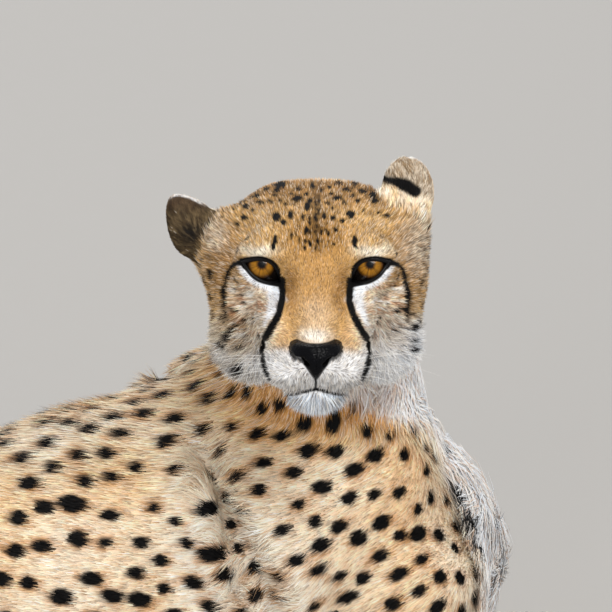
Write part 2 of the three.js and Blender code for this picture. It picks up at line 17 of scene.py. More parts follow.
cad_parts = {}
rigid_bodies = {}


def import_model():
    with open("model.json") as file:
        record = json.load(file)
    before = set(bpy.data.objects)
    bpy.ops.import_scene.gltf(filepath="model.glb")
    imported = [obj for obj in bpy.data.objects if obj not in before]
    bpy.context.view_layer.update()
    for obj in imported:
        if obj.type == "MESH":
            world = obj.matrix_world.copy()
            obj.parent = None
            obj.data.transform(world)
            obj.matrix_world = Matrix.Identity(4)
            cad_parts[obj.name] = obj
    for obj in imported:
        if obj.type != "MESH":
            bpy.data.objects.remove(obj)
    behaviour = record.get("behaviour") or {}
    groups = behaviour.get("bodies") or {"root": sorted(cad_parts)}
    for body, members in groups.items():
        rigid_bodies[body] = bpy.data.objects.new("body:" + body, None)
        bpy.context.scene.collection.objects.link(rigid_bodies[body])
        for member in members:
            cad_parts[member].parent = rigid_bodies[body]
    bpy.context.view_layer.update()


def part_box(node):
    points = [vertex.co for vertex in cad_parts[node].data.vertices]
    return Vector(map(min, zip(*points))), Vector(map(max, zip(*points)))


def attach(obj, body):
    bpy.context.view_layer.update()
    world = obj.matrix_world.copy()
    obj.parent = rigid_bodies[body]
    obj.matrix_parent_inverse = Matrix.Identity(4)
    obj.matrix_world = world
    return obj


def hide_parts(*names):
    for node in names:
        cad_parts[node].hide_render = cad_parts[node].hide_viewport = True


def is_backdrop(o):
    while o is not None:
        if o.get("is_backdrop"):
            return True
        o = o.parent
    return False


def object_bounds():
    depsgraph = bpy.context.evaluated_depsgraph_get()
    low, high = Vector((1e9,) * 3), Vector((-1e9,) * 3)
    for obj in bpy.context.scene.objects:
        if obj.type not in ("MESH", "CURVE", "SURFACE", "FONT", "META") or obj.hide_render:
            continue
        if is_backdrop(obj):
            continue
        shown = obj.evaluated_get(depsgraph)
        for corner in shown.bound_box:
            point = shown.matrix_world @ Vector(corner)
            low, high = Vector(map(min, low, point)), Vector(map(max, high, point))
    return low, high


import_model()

MM = 0.001
rng = np.random.default_rng(11)

# %% [markdown]
# ## Where the head looks
# The two eyeballs of the frame tell where the head is and how it is turned. Everything on the face is then
# measured in the head's own axes: f towards the nose, s to the animal's left, v up, from midway between
# the eyes. On the body, x runs forward, y to its left and z up, as in the frame.

# %% Axes of body and head, in millimetres
def middle_of(node):
    low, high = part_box(node)
    return np.array((low + high) / 2) / MM


HEAD_LIFT = math.radians(14)
eye_middle = (middle_of("eye_left") + middle_of("eye_right")) / 2
to_left = middle_of("eye_left") - middle_of("eye_right")
EYE_APART = np.linalg.norm(to_left) / 2
to_left /= np.linalg.norm(to_left)
level = np.cross(to_left, [0, 0, 1])
to_nose = level * math.cos(HEAD_LIFT) + np.array([0, 0, math.sin(HEAD_LIFT)])
HEAD_AXES = np.array([to_nose, to_left, np.cross(to_nose, to_left)])
HEAD_AT = np.array([181.0, -104.0, 446.0])  # the same point in the body's axes
SHIFT = eye_middle - HEAD_AT


def to_head(P):
    return ((P - HEAD_AT) @ HEAD_AXES.T).astype(np.float32)


def from_head(H):
    return (np.asarray(H) @ HEAD_AXES + HEAD_AT).astype(np.float32)


def to_world(P):
    return (np.asarray(P, float) + SHIFT) * MM


def one_side(P):
    """Points with the right side folded over onto the left."""
    return np.stack([P[:, 0], np.abs(P[:, 1]), P[:, 2]], 1)


def linked(name, data):
    """A new object in the scene."""
    obj = bpy.data.objects.new(name, data)
    bpy.context.scene.collection.objects.link(obj)
    return obj


print("eyes", round(2 * EYE_APART, 1), "mm apart, body axes shifted by", SHIFT.round(1))

# %% [markdown]
# ## A body from soft forms
# An animal has no edges, so it is described by a distance field: eggs, tapered chains of balls and one row
# of sections, which melt into each other. Each form also says how deep its coat is and which way its hair
# lies. The skin is the surface that lies that deep inside the tips of the coat.

# %% Forms: egg, chain and loft
def smooth(edge0, edge1, x):
    t = np.clip((x - edge0) / (edge1 - edge0), 0, 1)
    return t * t * (3 - 2 * t)


def melt(a, b, k):
    h = np.maximum(k - np.abs(a - b), 0) / k
    return np.minimum(a, b) - h * h * (k / 4)


def carve(a, b, k):
    return -melt(-a, b, k)


class Egg:
    def __init__(self, centre, radii):
        self.centre, self.radii = np.float32(centre), radii

    def distance(self, P):
        far = slope = 0
        for axis in range(3):
            q = (P[:, axis] - self.centre[axis]) / self.radii[axis]
            far = far + q * q
            slope = slope + (q / self.radii[axis]) ** 2
        far = np.sqrt(far)
        return far * (far - 1) / np.maximum(np.sqrt(slope), 1e-6)


class Chain:
    def __init__(self, joints):
        self.joints = np.float32(joints)

    def spans(self, P):
        for a, b in zip(self.joints[:-1], self.joints[1:]):
            u = b[:3] - a[:3]
            t = np.clip(((P - a[:3]) @ u) / (u @ u), 0, 1)
            gap = np.sqrt(sum((P[:, i] - a[i] - t * u[i]) ** 2 for i in range(3)))
            yield gap - (a[3] + t * (b[3] - a[3])), t, u / np.linalg.norm(u)

    def distance(self, P):
        nearest = np.float32(1e4)
        for d, _, _ in self.spans(P):
            nearest = np.minimum(nearest, d)
        return nearest

    def way(self, P):
        """Direction of the nearest span, and how far along the whole chain a point is."""
        nearest, ways, along = np.full(len(P), 1e4), np.zeros((len(P), 3)), np.zeros(len(P))
        for i, (d, t, u) in enumerate(self.spans(P)):
            closer = d < nearest
            nearest[closer], ways[closer], along[closer] = d[closer], u, i + t[closer]
        return ways, along / (len(self.joints) - 1)


class Loft:
    """Elliptical sections along x, with rounded caps."""

    def __init__(self, sections, first_cap, last_cap):
        self.sections, self.caps = np.float32(sections), (first_cap, last_cap)

    def distance(self, P):
        S = self.sections
        x = np.clip(P[:, 0], S[0, 0], S[-1, 0])
        i = np.clip(np.searchsorted(S[:, 0], x, side="right") - 1, 0, len(S) - 2)
        t = smooth(0, 1, (x - S[i, 0]) / (S[i + 1, 0] - S[i, 0]))[:, None]
        mid, tall, wide = (S[i, 1:] + t * (S[i + 1, 1:] - S[i, 1:])).T
        cap = np.where(P[:, 0] < S[0, 0], *self.caps)
        q = (P[:, 0] - x, P[:, 1], P[:, 2] - mid)
        far = np.sqrt(sum((a / r) ** 2 for a, r in zip(q, (cap, wide, tall))))
        slope = np.sqrt(sum((a / r ** 2) ** 2 for a, r in zip(q, (cap, wide, tall))))
        return far * (far - 1) / np.maximum(slope, 1e-6)

# %% Forms of trunk, limbs, neck and tail: shape, melt, coat depth, lie of the hair
BACKWARD = (-1.0, 0.0, 0.32)
DOWN_LIMB, UP_LIMB = 1, -1  # along a chain, or against it
TRUNK = Loft(
    [
        [-345, 152, 110, 84], [-240, 163, 110, 76], [-140, 158, 122, 84], [-40, 142, 139, 99],
        [60, 147, 149, 103], [150, 151, 152, 97], [240, 162, 88, 76],
    ],
    100, 95,
)
WITHERS = Chain([[70, 0, 253, 40], [140, 0, 264, 42], [192, 0, 284, 46]])
BREAST = Egg([258, -8, 202], [59, 58, 44])
NECK = Chain([[228, 0, 208, 66], [217, -3, 292, 60], [207, -17, 356, 56]])
TAIL = Chain(
    [
        [-415, 0, 168, 36], [-478, 6, 108, 31], [-545, 34, 48, 27], [-622, 88, 25, 26],
        [-672, 170, 24, 25.5], [-664, 262, 24, 25.5], [-596, 336, 24, 25.5], [-500, 366, 24, 25.5],
        [-440, 360, 24, 22], [-416, 353, 23, 14],
    ]
)
TOES = [(-21, 34), (-7.5, 47), (8, 46), (21.5, 32)]
TOE = 14
LEFT_IN = {"carpus": 16, "knuckles": 28}


def foot(x, y, z, side):
    return [
        (Chain([[x - 4, side * (y + 0.8 * across), z - 1, TOE],
                [x + reach, side * (y + across), TOE - 1.5, TOE - 0.5]]), 5, 2.4, DOWN_LIMB)
        for across, reach in TOES
    ]


def limbs(side):
    carpus_in, knuckles_in = (LEFT_IN["carpus"], LEFT_IN["knuckles"]) if side > 0 else (0, 0)

    def run(*joints):
        return Chain([[x, side * y, z, r] for x, y, z, r in joints])

    shoulder, elbow = (248, 70, 182, 48), (114, 98, 74, 42)
    carpus, knuckles = (338, 110 - carpus_in, 25, 27), (398, 112 - knuckles_in, 21, 26)
    hock, instep, sole = (-368, 128, 44, 25), (-200, 138, 23, 25), (-150, 140, 20, 25)
    return [
        (run((150, 48, 246, 32), shoulder), 44, 5.2, (-0.95, 0, -0.12)),
        (Egg([185, side * 50, 235], [90, 52, 72]), 30, 4.6, (-0.95, 0, -0.05)),
        (run((168, 74, 226, 36), elbow), 30, 5.2, (-0.9, 0, -0.35)),
        (run(shoulder, elbow), 26, 5.2, (-0.85, 0, -0.45)),
        (run((128, 104, 38, 40), carpus, knuckles), 16, 3.2, DOWN_LIMB),
        (run((-325, 58, 182, 80), (-150, 108, 116, 56)), 40, 5.2, (-0.55, 0, -0.85)),
        (run((-152, 116, 92, 44), hock), 18, 4.2, DOWN_LIMB),
        (run(hock, instep, sole), 8, 2.8, DOWN_LIMB),
        *foot(knuckles[0], knuckles[1], knuckles[2], side),
        *foot(sole[0], sole[1], sole[2], side),
    ]


# the fold of skin behind the elbow
FOLD = Chain([[127, 46, 292, 1], [133, 66, 272, 5], [140, 86, 247, 8], [148, 102, 212, 10], [152, 114, 172, 7]])
BODY_FORMS = [(TRUNK, 1, 4.6, BACKWARD), *limbs(-1), *limbs(1), (WITHERS, 30, 4.6, (-1, 0, -0.1)),
              (BREAST, 24, 9, (-0.2, 0, -1)), (NECK, 46, 5.5, UP_LIMB), (TAIL, 30, 5, DOWN_LIMB)]
print(len(BODY_FORMS), "forms of the body")

# %% Forms of the head, in its own axes
BACK = (-1.0, 0.0, 0.0)
EAR_ROOTS = {1: [-60, 54, 10], -1: [-60, -57, -5]}


def head_forms():
    forms = [
        (Egg([-52, 0, -1.8], [60, 57, 41]), 1, 1.8, BACK),  # braincase
        (Egg([-12, 0, 2], [40, 43, 30]), 16, 1.6, BACK),  # forehead
        (Chain([[6, 0, -4, 17], [60, 0, -37, 13]]), 14, 1.3, BACK),  # bridge of the nose
        (Egg([42, 0, -45], [31, 27, 18]), 10, 1.6, BACK),  # muzzle
        (Chain([[46, 0, -65, 11], [-40, 0, -56, 22]]), 10, 2.8, (-0.6, 0, -0.8)),  # lower jaw
        (Egg([47, 0, -65], [19, 20, 12]), 8, 2.2, (-0.3, 0, -0.95)),  # chin
        (Chain([[-80, 0, -26, 50], [-92, 0, -60, 46]]), 18, 5, (-0.7, 0, -0.7)),  # nape
    ]
    for side in (-1, 1):
        def at(x, y, z, side=side):
            return [x, side * y, z]

        forms += [
            (Egg(at(-34, 42 if side > 0 else 40, -22), [38, 28, 34]), 16, 3.0, (-0.75, side * 0.62, -0.1)),  # cheek
            (Egg(at(-38, 35, -56), [36, 32.5, 30]), 16, 5.5, (-0.7, side * 0.4, -0.6)),  # ruff
            (Egg(at(18, 21, -25), [30, 17, 21]), 12, 1.6, (-0.8, side * 0.45, -0.18)),  # upper jaw
            (Egg(at(2, 27, 12), [16, 18, 8]), 10, 1.6, (-0.9, side * 0.2, 0.2)),  # brow
            (Egg(at(50, 17, -48), [23, 18, 14]), 8, 1.5, (-0.9, side * 0.3, -0.2)),  # whisker pad
            (Egg(at(-1, 33, 0), [17, 17, 16]), 6, 1.2, (-0.7, side * 0.3, 0.45)),  # over the eyeball
            (Egg(EAR_ROOTS[side], [20, 20, 23]), 14, 3.5, (-0.55, side * 0.8, 0.15)),
            (Egg(at(-46, 46, -5), [34, 24, 28]), 14, 3.0, (-0.8, side * 0.5, 0.1)),  # temple
            (Egg(at(-50, 22, 10.2), [38, 24, 26]), 12, 1.8, BACK),  # crown, beside the middle
        ]
    return forms


HEAD_FORMS = head_forms()
HEAD_MELT = 34
NECK_MIDDLE, HEAD_ABOVE = 300, 330  # heights from which the head counts, and where it alone decides


def union(forms, P):
    """Distance to the melted forms, and the coat depth there."""
    d, coats, weights = np.float32(1e3), 0, 1e-6
    for shape, k, coat, _ in forms:
        one = shape.distance(P)
        weight = np.exp(-np.clip(one, 0, 120) / 9)
        d, coats, weights = melt(d, one, k), coats + weight * coat, weights + weight
    return d, coats, weights


print(len(HEAD_FORMS), "forms of the head")

# %% [markdown]
# ## The finer shapes of the head
# The solids stop at broad forms. The skin adds the hollow round each eye and the lids over the eyeball, the
# opening between them, the mouth line, the groove below the nose and the cupped ears. Each is one more
# field, melted on or carved away.

# %% Eye opening, mouth and ears as fields
EYE_RADIUS = 15.0
LIDS = {"middle": (32.7, 0.0), "tilt": math.radians(28), "half": 13.0, "upper": 8.9, "lower": 4.2}
MOUTH = [[78, 0, -54.5, 1.5], [75, 7, -57, 1.6], [69, 15, -60.5, 1.5], [56, 24, -64, 1.2], [36, 31, -62, 0.8]]
PHILTRUM = Chain([[83, 0, -46, 1.0], [79, 0, -57, 1.2]])
NOSTRIL = [(5.0, -40.5, 1.3), (8.5, -38.2, 1.9), (13.0, -38.4, 1.6), (15.4, -36.4, 1.0)]  # s, v, half width
NOSE_HEIGHTS = (-50.5, -48, -44, -40, -36.5, -34, -31, -29)
NOSE_HALF_WIDTHS = (0.7, 2.2, 4.6, 8.0, 13.2, 16.3, 15.8, 12.0)
EARS = {
    1: {"middle": [-60, 56.5, 31.5], "points": [-0.3, 0.02, 0.95], "back": [0.85, 0.42, 0.2],
        "width": 18, "taper": 0.06},
    -1: {"middle": [-60, -76.6, 10.3], "points": [-0.37, -0.57, 0.75], "back": [0.9, -0.3, 0.2],
         "width": 16.5, "taper": 0.35},
}
EAR = {"length": 22, "depth": 12, "wall": 4.6, "coat": 1.0}


def lid_axes(s, v):
    """Place in the eye's own plane: along the line from inner to outer corner, and across it."""
    c, n = math.cos(LIDS["tilt"]), math.sin(LIDS["tilt"])
    ds, dv = s - LIDS["middle"][0], v - LIDS["middle"][1]
    return ds * c + dv * n, dv * c - ds * n


def lid_gap(s, v):
    """Below zero in the opening between the lids, above it outside."""
    x, y = lid_axes(s, v)
    bow = 1 - (x / LIDS["half"]) ** 2
    over = (y - LIDS["upper"] * bow) / np.sqrt(1 + (2 * LIDS["upper"] * x / LIDS["half"] ** 2) ** 2)
    under = (-y - LIDS["lower"] * bow) / np.sqrt(1 + (2 * LIDS["lower"] * x / LIDS["half"] ** 2) ** 2)
    return np.maximum(over, under)


def stroke(marks, s, u):
    """Distance to a drawn line that has a half width of its own at each of its points."""
    flat = np.stack([s, u, np.zeros_like(s)], 1).astype(np.float32)
    return Chain([[a, b, 0, r] for a, b, r in marks]).distance(flat)


def nose_outline(s, v):
    """Below zero inside the leather of the nose, in the plane across the head."""
    sides = (np.abs(s) - np.interp(v, NOSE_HEIGHTS, NOSE_HALF_WIDTHS)) * 0.75
    return np.maximum(np.maximum(sides, v - NOSE_HEIGHTS[-1]), NOSE_HEIGHTS[0] - v)


def ear_axes(side):
    points = Vector(EARS[side]["points"]).normalized()
    across = Vector(EARS[side]["back"]).cross(points).normalized()
    return np.array([points, across, points.cross(across).normalized()], np.float32)


def in_ear(H, side):
    Q = (H - np.float32(EARS[side]["middle"])) @ ear_axes(side).T
    Q[:, 1] /= 1 - EARS[side]["taper"] * np.clip(Q[:, 0] / EAR["length"], -1, 1)
    return Q


def ear_field(H, side):
    Q = in_ear(H, side)
    size = np.array([EAR["length"], EARS[side]["width"], EAR["depth"]]) - EAR["coat"]
    outer = Egg([0, 0, 0], size).distance(Q)
    wall = EAR["wall"] - EAR["coat"] * 0.6
    hollow = Egg([0, 0, -wall * 1.9], [size[0] - wall * 0.6, size[1] - wall * 0.6, size[2]]).distance(Q)
    return carve(outer, hollow, 3)


def face_detail(H, d):
    M = one_side(H)
    d = carve(d, Egg([31, 33.5, -1], [19, 17, 14]).distance(M), 7)
    d = melt(d, Egg([0, 33, 0], [16.4, 16.4, 16.4]).distance(M), 4)
    opening = np.maximum(lid_gap(M[:, 1], M[:, 2]), 2 - M[:, 0])
    d = carve(d, opening, 0.8)
    d = carve(d, Chain(MOUTH).distance(M), 2.0)
    d = carve(d, PHILTRUM.distance(M), 1.5)
    d = carve(d, np.maximum(stroke(NOSTRIL, M[:, 1], M[:, 2]), np.maximum(-(d + 5), 55 - M[:, 0])), 1.0)
    for one in EARS:
        d = melt(d, ear_field(H, one), 7)
    return d


def skin_field(P, fine_face=False):
    d, coats, weights = union([BODY_FORMS[0], BODY_FORMS[-2]] if fine_face else BODY_FORMS, P)
    up = P[:, 2] > NECK_MIDDLE
    H = to_head(P[up])
    dh, ch, wh = union(HEAD_FORMS, H)
    d[up] = melt(d[up], dh, HEAD_MELT)
    coats[up] += ch
    weights[up] += wh
    d = d + coats / weights + 4 * smooth(238, 290, P[:, 0]) * smooth(40, 90, P[:, 2])
    if fine_face:
        d[up] = face_detail(H, d[up])
    else:
        d = carve(d, FOLD.distance(one_side(P)), 20)
    return np.maximum(d, 0.6 - P[:, 2])

# %% [markdown]
# ## From field to mesh
# A surface net puts one vertex into every cell of a grid that the surface crosses, and a face across every
# crossed grid edge. The grid is coarse on the trunk and fine on the head and the toes. The pieces are
# trimmed to boxes with a boolean and united, so the skin ends up as one closed mesh with no seam.

# %% Surface net
def surface_net(field, low, high, cell):
    low = np.array(low, float)
    count = np.ceil((np.array(high) - low) / cell).astype(int) + 1
    ticks = [(low[i] + cell * np.arange(count[i])).astype(np.float32) for i in range(3)]
    P = np.stack(np.meshgrid(*ticks, indexing="ij"), -1).reshape(-1, 3)
    value = field(P).reshape(count)
    rim = np.ones(count, bool)
    rim[1:-1, 1:-1, 1:-1] = False
    value = np.where(rim, np.maximum(value, 0.01), value)
    inside = value < 0

    def corner(a, c):
        return a[c[0]:c[0] + count[0] - 1, c[1]:c[1] + count[1] - 1, c[2]:c[2] + count[2] - 1]

    corners = [(i, j, k) for i in (0, 1) for j in (0, 1) for k in (0, 1)]
    held = sum(corner(inside, c).astype(np.int8) for c in corners)
    active = np.argwhere((held > 0) & (held < 8))
    ids = np.full(count - 1, -1)
    ids[tuple(active.T)] = np.arange(len(active))
    total, crossings = np.zeros((len(active), 3)), np.zeros(len(active))
    for a in corners:
        for axis in range(3):
            if a[axis]:
                continue
            b = tuple(1 if i == axis else a[i] for i in range(3))
            va, vb = value[tuple((active + a).T)], value[tuple((active + b).T)]
            cross = (va < 0) != (vb < 0)
            t = np.where(cross, va / np.where(cross, va - vb, 1), 0)
            at = np.array(a, float) + t[:, None] * (np.array(b) - np.array(a))
            total += at * cross[:, None]
            crossings += cross
    verts = low + cell * (active + total / crossings[:, None])
    rough = verts.copy()
    for _ in range(2):
        d = field(verts.astype(np.float32))
        step = 0.2 * cell
        slope = np.stack([
            (field((verts + step * np.eye(3)[axis]).astype(np.float32)) - d) / step for axis in range(3)
        ], 1)
        verts = verts - (d / np.maximum((slope ** 2).sum(1), 0.3))[:, None] * slope
        verts = np.clip(verts, rough - 0.45 * cell, rough + 0.45 * cell)
    quads = []
    for axis, (u, v) in enumerate(((1, 2), (2, 0), (0, 1))):
        ahead = [slice(None)] * 3
        behind = [slice(None)] * 3
        ahead[axis], behind[axis] = slice(1, None), slice(0, -1)
        change = np.argwhere(inside[tuple(behind)] != inside[tuple(ahead)])
        quad = []
        for du, dv in ((0, 0), (1, 0), (1, 1), (0, 1)):
            c = change.copy()
            c[:, u] -= du
            c[:, v] -= dv
            quad.append(ids[tuple(c.T)])
        quad = np.stack(quad, 1)
        turned = ~inside[tuple(change.T)]
        quad[turned] = quad[turned, ::-1]
        quads.append(quad)
    return verts, np.concatenate(quads)


def mesh_object(name, verts_mm, faces, smooth_faces=True):
    """A mesh from arrays of corners in body millimetres and of faces with the same number of sides."""
    mesh = bpy.data.meshes.new(name)
    faces = np.asarray(faces, np.int32)
    mesh.vertices.add(len(verts_mm))
    mesh.vertices.foreach_set("co", to_world(verts_mm).astype(np.float32).ravel())
    mesh.loops.add(faces.size)
    mesh.loops.foreach_set("vertex_index", faces.ravel())
    mesh.polygons.add(len(faces))
    mesh.polygons.foreach_set("loop_start", np.arange(0, faces.size, faces.shape[1], dtype=np.int32))
    mesh.update(calc_edges=True)
    mesh.polygons.foreach_set("use_smooth", np.full(len(faces), smooth_faces))
    return linked(name, mesh)


def combine(target, tool, operation):
    """target and tool joined, cut or trimmed by a boolean; the tool is used up."""
    change = target.modifiers.new("combine", "BOOLEAN")
    change.operation, change.solver, change.object = operation, "MANIFOLD", tool
    result = bpy.data.meshes.new_from_object(target.evaluated_get(bpy.context.evaluated_depsgraph_get()))
    target.modifiers.clear()
    target.data = result
    bpy.data.objects.remove(tool)
    return target

# %% One skin
HEAD_PRISM = [(-165, 82), (-44, -92), (120, -92), (120, 130), (-165, 130)]  # in the head's side view
TOE_BOXES = [
    ((352, 20, -6), (480, 165, 80)),
    ((352, -165, -6), (480, -60, 80)),
    ((-214, 90, -6), (-78, 190, 54)),
    ((-214, -190, -6), (-78, -90, 54)),
]


def box_object(low, high, grow=0.0):
    low, high = np.array(low, float) - grow, np.array(high, float) + grow
    corners = [[(low, high)[i][0], (low, high)[j][1], (low, high)[k][2]]
               for i in (0, 1) for j in (0, 1) for k in (0, 1)]
    faces = [(0, 1, 3, 2), (4, 6, 7, 5), (0, 4, 5, 1), (2, 3, 7, 6), (0, 2, 6, 4), (1, 5, 7, 3)]
    return mesh_object("region", corners, faces, False)


def head_region(grow=0.0):
    ring = np.array(HEAD_PRISM, float)
    ring = ring + grow * (ring - ring.mean(0)) / 100
    corners = [from_head([f, s, v]) for s in (-130, 130) for f, v in ring]
    mesh = bpy.data.meshes.new("head region")
    mesh.from_pydata([tuple(to_world(c)) for c in corners], [],
                     [tuple(range(5)), tuple(range(9, 4, -1))]
                     + [(i, i + 5, (i + 1) % 5 + 5, (i + 1) % 5) for i in range(5)])
    shape = bmesh.new()
    shape.from_mesh(mesh)
    bmesh.ops.recalc_face_normals(shape, faces=shape.faces)
    shape.to_mesh(mesh)
    return linked("head region", mesh)


BODY_CELL, HEAD_CELL, TOE_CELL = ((5.6, 1.65, 2.5))
skin = mesh_object("skin", *surface_net(skin_field, (-715, -205, -8), (350, 405, 400), BODY_CELL))
skin = combine(skin, head_region(), "DIFFERENCE")
head_verts, head_faces = surface_net(
    lambda H: skin_field(from_head(H), True), (-175, -105, -100), (92, 90, 62), HEAD_CELL)
head = mesh_object("head skin", from_head(head_verts), head_faces)
head = combine(head, head_region(0.4), "INTERSECT")
skin = combine(skin, head, "UNION")
for low, high in TOE_BOXES:
    skin = combine(skin, box_object(low, high), "DIFFERENCE")
    wide = np.array([4, 4, 0])
    toes = mesh_object("toes", *surface_net(skin_field, low - wide, high + wide, TOE_CELL))
    skin = combine(skin, combine(toes, box_object(low, high, 0.3), "INTERSECT"), "UNION")
print("skin:", len(skin.data.vertices), "vertices,", len(skin.data.polygons), "faces")

# %% [markdown]
# The skin gets an unwrap of its shape, which later gives every tuft a place on the map.

# %% Unwrap of the skin, and its arrays
def edit_all(obj, work):
    bpy.context.view_layer.objects.active = obj
    obj.select_set(True)
    bpy.ops.object.mode_set(mode="EDIT")
    bpy.ops.mesh.select_all(action="SELECT")
    work()
    bpy.ops.object.mode_set(mode="OBJECT")
    obj.select_set(False)


def array_of(items, name, width, kind=np.float32):
    out = np.empty(len(items) * width, kind)
    items.foreach_get(name, out)
    return out.reshape(-1, width) if width > 1 else out


edit_all(skin, lambda: bpy.ops.mesh.quads_convert_to_tris())
skin.data.uv_layers.new(name="OFBake")
edit_all(skin, lambda: bpy.ops.uv.smart_project(angle_limit=1.15, island_margin=0.002, scale_to_bounds=True))
skin.data.polygons.foreach_set("use_smooth", np.ones(len(skin.data.polygons), bool))

skin_points = (array_of(skin.data.vertices, "co", 3) / MM - SHIFT).astype(np.float32)
skin_tris = array_of(skin.data.polygons, "vertices", 3, np.int32)
skin_uv = array_of(skin.data.uv_layers["OFBake"].data, "uv", 2).reshape(-1, 3, 2)
across, down = (skin_points[skin_tris[:, i]] - skin_points[skin_tris[:, 0]] for i in (1, 2))
tri_normals = np.cross(across, down)
tri_areas = np.linalg.norm(tri_normals, axis=1) / 2
skin_normals = np.zeros_like(skin_points)
for i in range(3):
    np.add.at(skin_normals, skin_tris[:, i], tri_normals)
skin_normals /= np.linalg.norm(skin_normals, axis=1)[:, None] + 1e-9
print(len(skin_tris), "triangles,", round(tri_areas.sum() / 1e6, 3), "square metres of skin")

# %% [markdown]
# ## The lie of the hair
# Hair lies backwards from the nose over head and trunk and down the limbs. Each form gives its own
# direction, and between two forms the directions blend just as the shapes do.

# %% Direction and depth of the coat at any point
def hair_way(P):
    """Direction of the hair and depth of the coat at points on the skin."""
    total, coats, weights = np.zeros((len(P), 3)), np.zeros(len(P)), np.full(len(P), 1e-9)

    def add(forms, Q, rows, turn):
        for shape, _, coat, way in forms:
            one = shape.distance(Q)
            weight = np.exp(-np.clip(one, 0, 150) / 9)
            if isinstance(way, int):
                ways, _ = shape.way(Q)
                ways = ways * way
            else:
                ways = np.tile(np.float32(way), (len(Q), 1))
            total[rows] += weight[:, None] * turn(ways)
            coats[rows] += weight * coat
            weights[rows] += weight

    add(BODY_FORMS, P, np.arange(len(P)), lambda w: w)
    up = np.flatnonzero(P[:, 2] > NECK_MIDDLE)
    H = to_head(P[up])
    add(HEAD_FORMS, H, up, lambda w: w @ HEAD_AXES)
    M = one_side(H)
    lid = 8 * np.exp(-np.clip(lid_gap(M[:, 1], M[:, 2]), 0, 60) / 5) * (M[:, 0] > 0)
    out = np.stack([np.full(len(H), -3.0), (M[:, 1] - 30) * np.sign(H[:, 1]), M[:, 2] - 3], 1)
    total[up] += lid[:, None] * ((out / np.linalg.norm(out, axis=1)[:, None]) @ HEAD_AXES)
    coats[up] += lid * 1.1
    weights[up] += lid
    for side in EARS:
        Q = in_ear(H, side)
        near = np.exp(-np.clip(ear_field(H, side), 0, 60) / 2.5) * 40
        ways = np.tile(ear_axes(side)[0], (len(H), 1)) + 0.25 * np.sign(Q[:, 1:2]) * ear_axes(side)[1]
        total[up] += near[:, None] * (ways @ HEAD_AXES)
        coats[up] += near * EAR["coat"]
        weights[up] += near
    return total / weights[:, None], coats / weights


def tangent(ways, normals):
    flat = ways - (ways * normals).sum(1)[:, None] * normals
    return flat / (np.linalg.norm(flat, axis=1)[:, None] + 1e-9)


def noise(P, size, seed=0):
    """Smooth noise between -1 and 1 with lumps of the given size."""
    Q = np.asarray(P, float) / size + seed * 17.3
    cell = np.floor(Q).astype(np.int64)
    t = Q - cell
    t = t * t * (3 - 2 * t)
    out = 0
    for c in ((i, j, k) for i in (0, 1) for j in (0, 1) for k in (0, 1)):
        n = ((cell + c) @ np.array([73856093, 19349663, 83492791]) + seed * 9781) & 0x7FFFFFFF
        n = (n ^ (n >> 13)) * 1274126177 & 0x7FFFFFFF
        weight = np.prod([t[:, i] if c[i] else 1 - t[:, i] for i in range(3)], axis=0)
        out = out + weight * ((n ^ (n >> 16)) % 2048) / 1023.5
    return out - 1

# %% [markdown]
# ## Markings
# Everything that colours the animal is one function of place: tawny on the back, cream on the flanks and
# white below, round solid spots, the dark line from each eye to the mouth, the streaked crown. Skin and
# coat both ask it, so they can't disagree. First the spots of the body: they keep a distance from each
# other that changes with the place, like seeds that push each other away.

# %% Spots of the body
FACE_LEAN = math.radians(16)
FACE_WAY = np.array([math.cos(FACE_LEAN), 0, math.sin(FACE_LEAN)])
# x of the throat's white edge, at heights z
THROAT_EDGE = (200, 227, 245, 256, 276, 301, 317, 329, 345), (285, 284, 280, 276, 263, 242, 219, 199, 168)


def chest_white(P):
    """How far a point belongs to the white throat and chest, 0 to 1."""
    x, y, z = P.T
    edge = np.interp(z, *THROAT_EDGE)
    front = smooth(edge - 9, edge + 7, x + 0.1 * y + 6 * noise(P, 22, 3))
    nape = smooth(262, 318, z) * smooth(-22, 26, y + 5 * noise(P, 18, 23))
    return front * smooth(40, 110, z) * smooth(-190, -80, y - 0.3 * (z - 150)) * (1 - nape)


def spot_spacing(P):
    """Least distance between spots, in millimetres."""
    x, y, z = P.T
    room = np.full(len(P), 15.2)
    room = np.where(x < 40, 17.2, room)
    limb = smooth(95, 60, z) * (np.abs(y) > 60)
    room = room - 4.5 * limb
    room = np.where((z > 318) & (x > 60), 13.0, room)
    H = to_head(P)
    room = np.where((z > 330) & (H[:, 0] > -100), 8.6, room)
    room = np.where(TAIL.distance(P) < 5, 15.5, room)
    return np.where((z < 45) & (np.abs(y) > 70) & ((x > 330) | ((x > -215) & (x < -70))), 9.0, room)


def turned_away(N):
    """1 on the sides and the back of the head, 0 where the skin looks ahead."""
    return smooth(0.42, 0.22, (N @ HEAD_AXES.T) @ FACE_WAY)


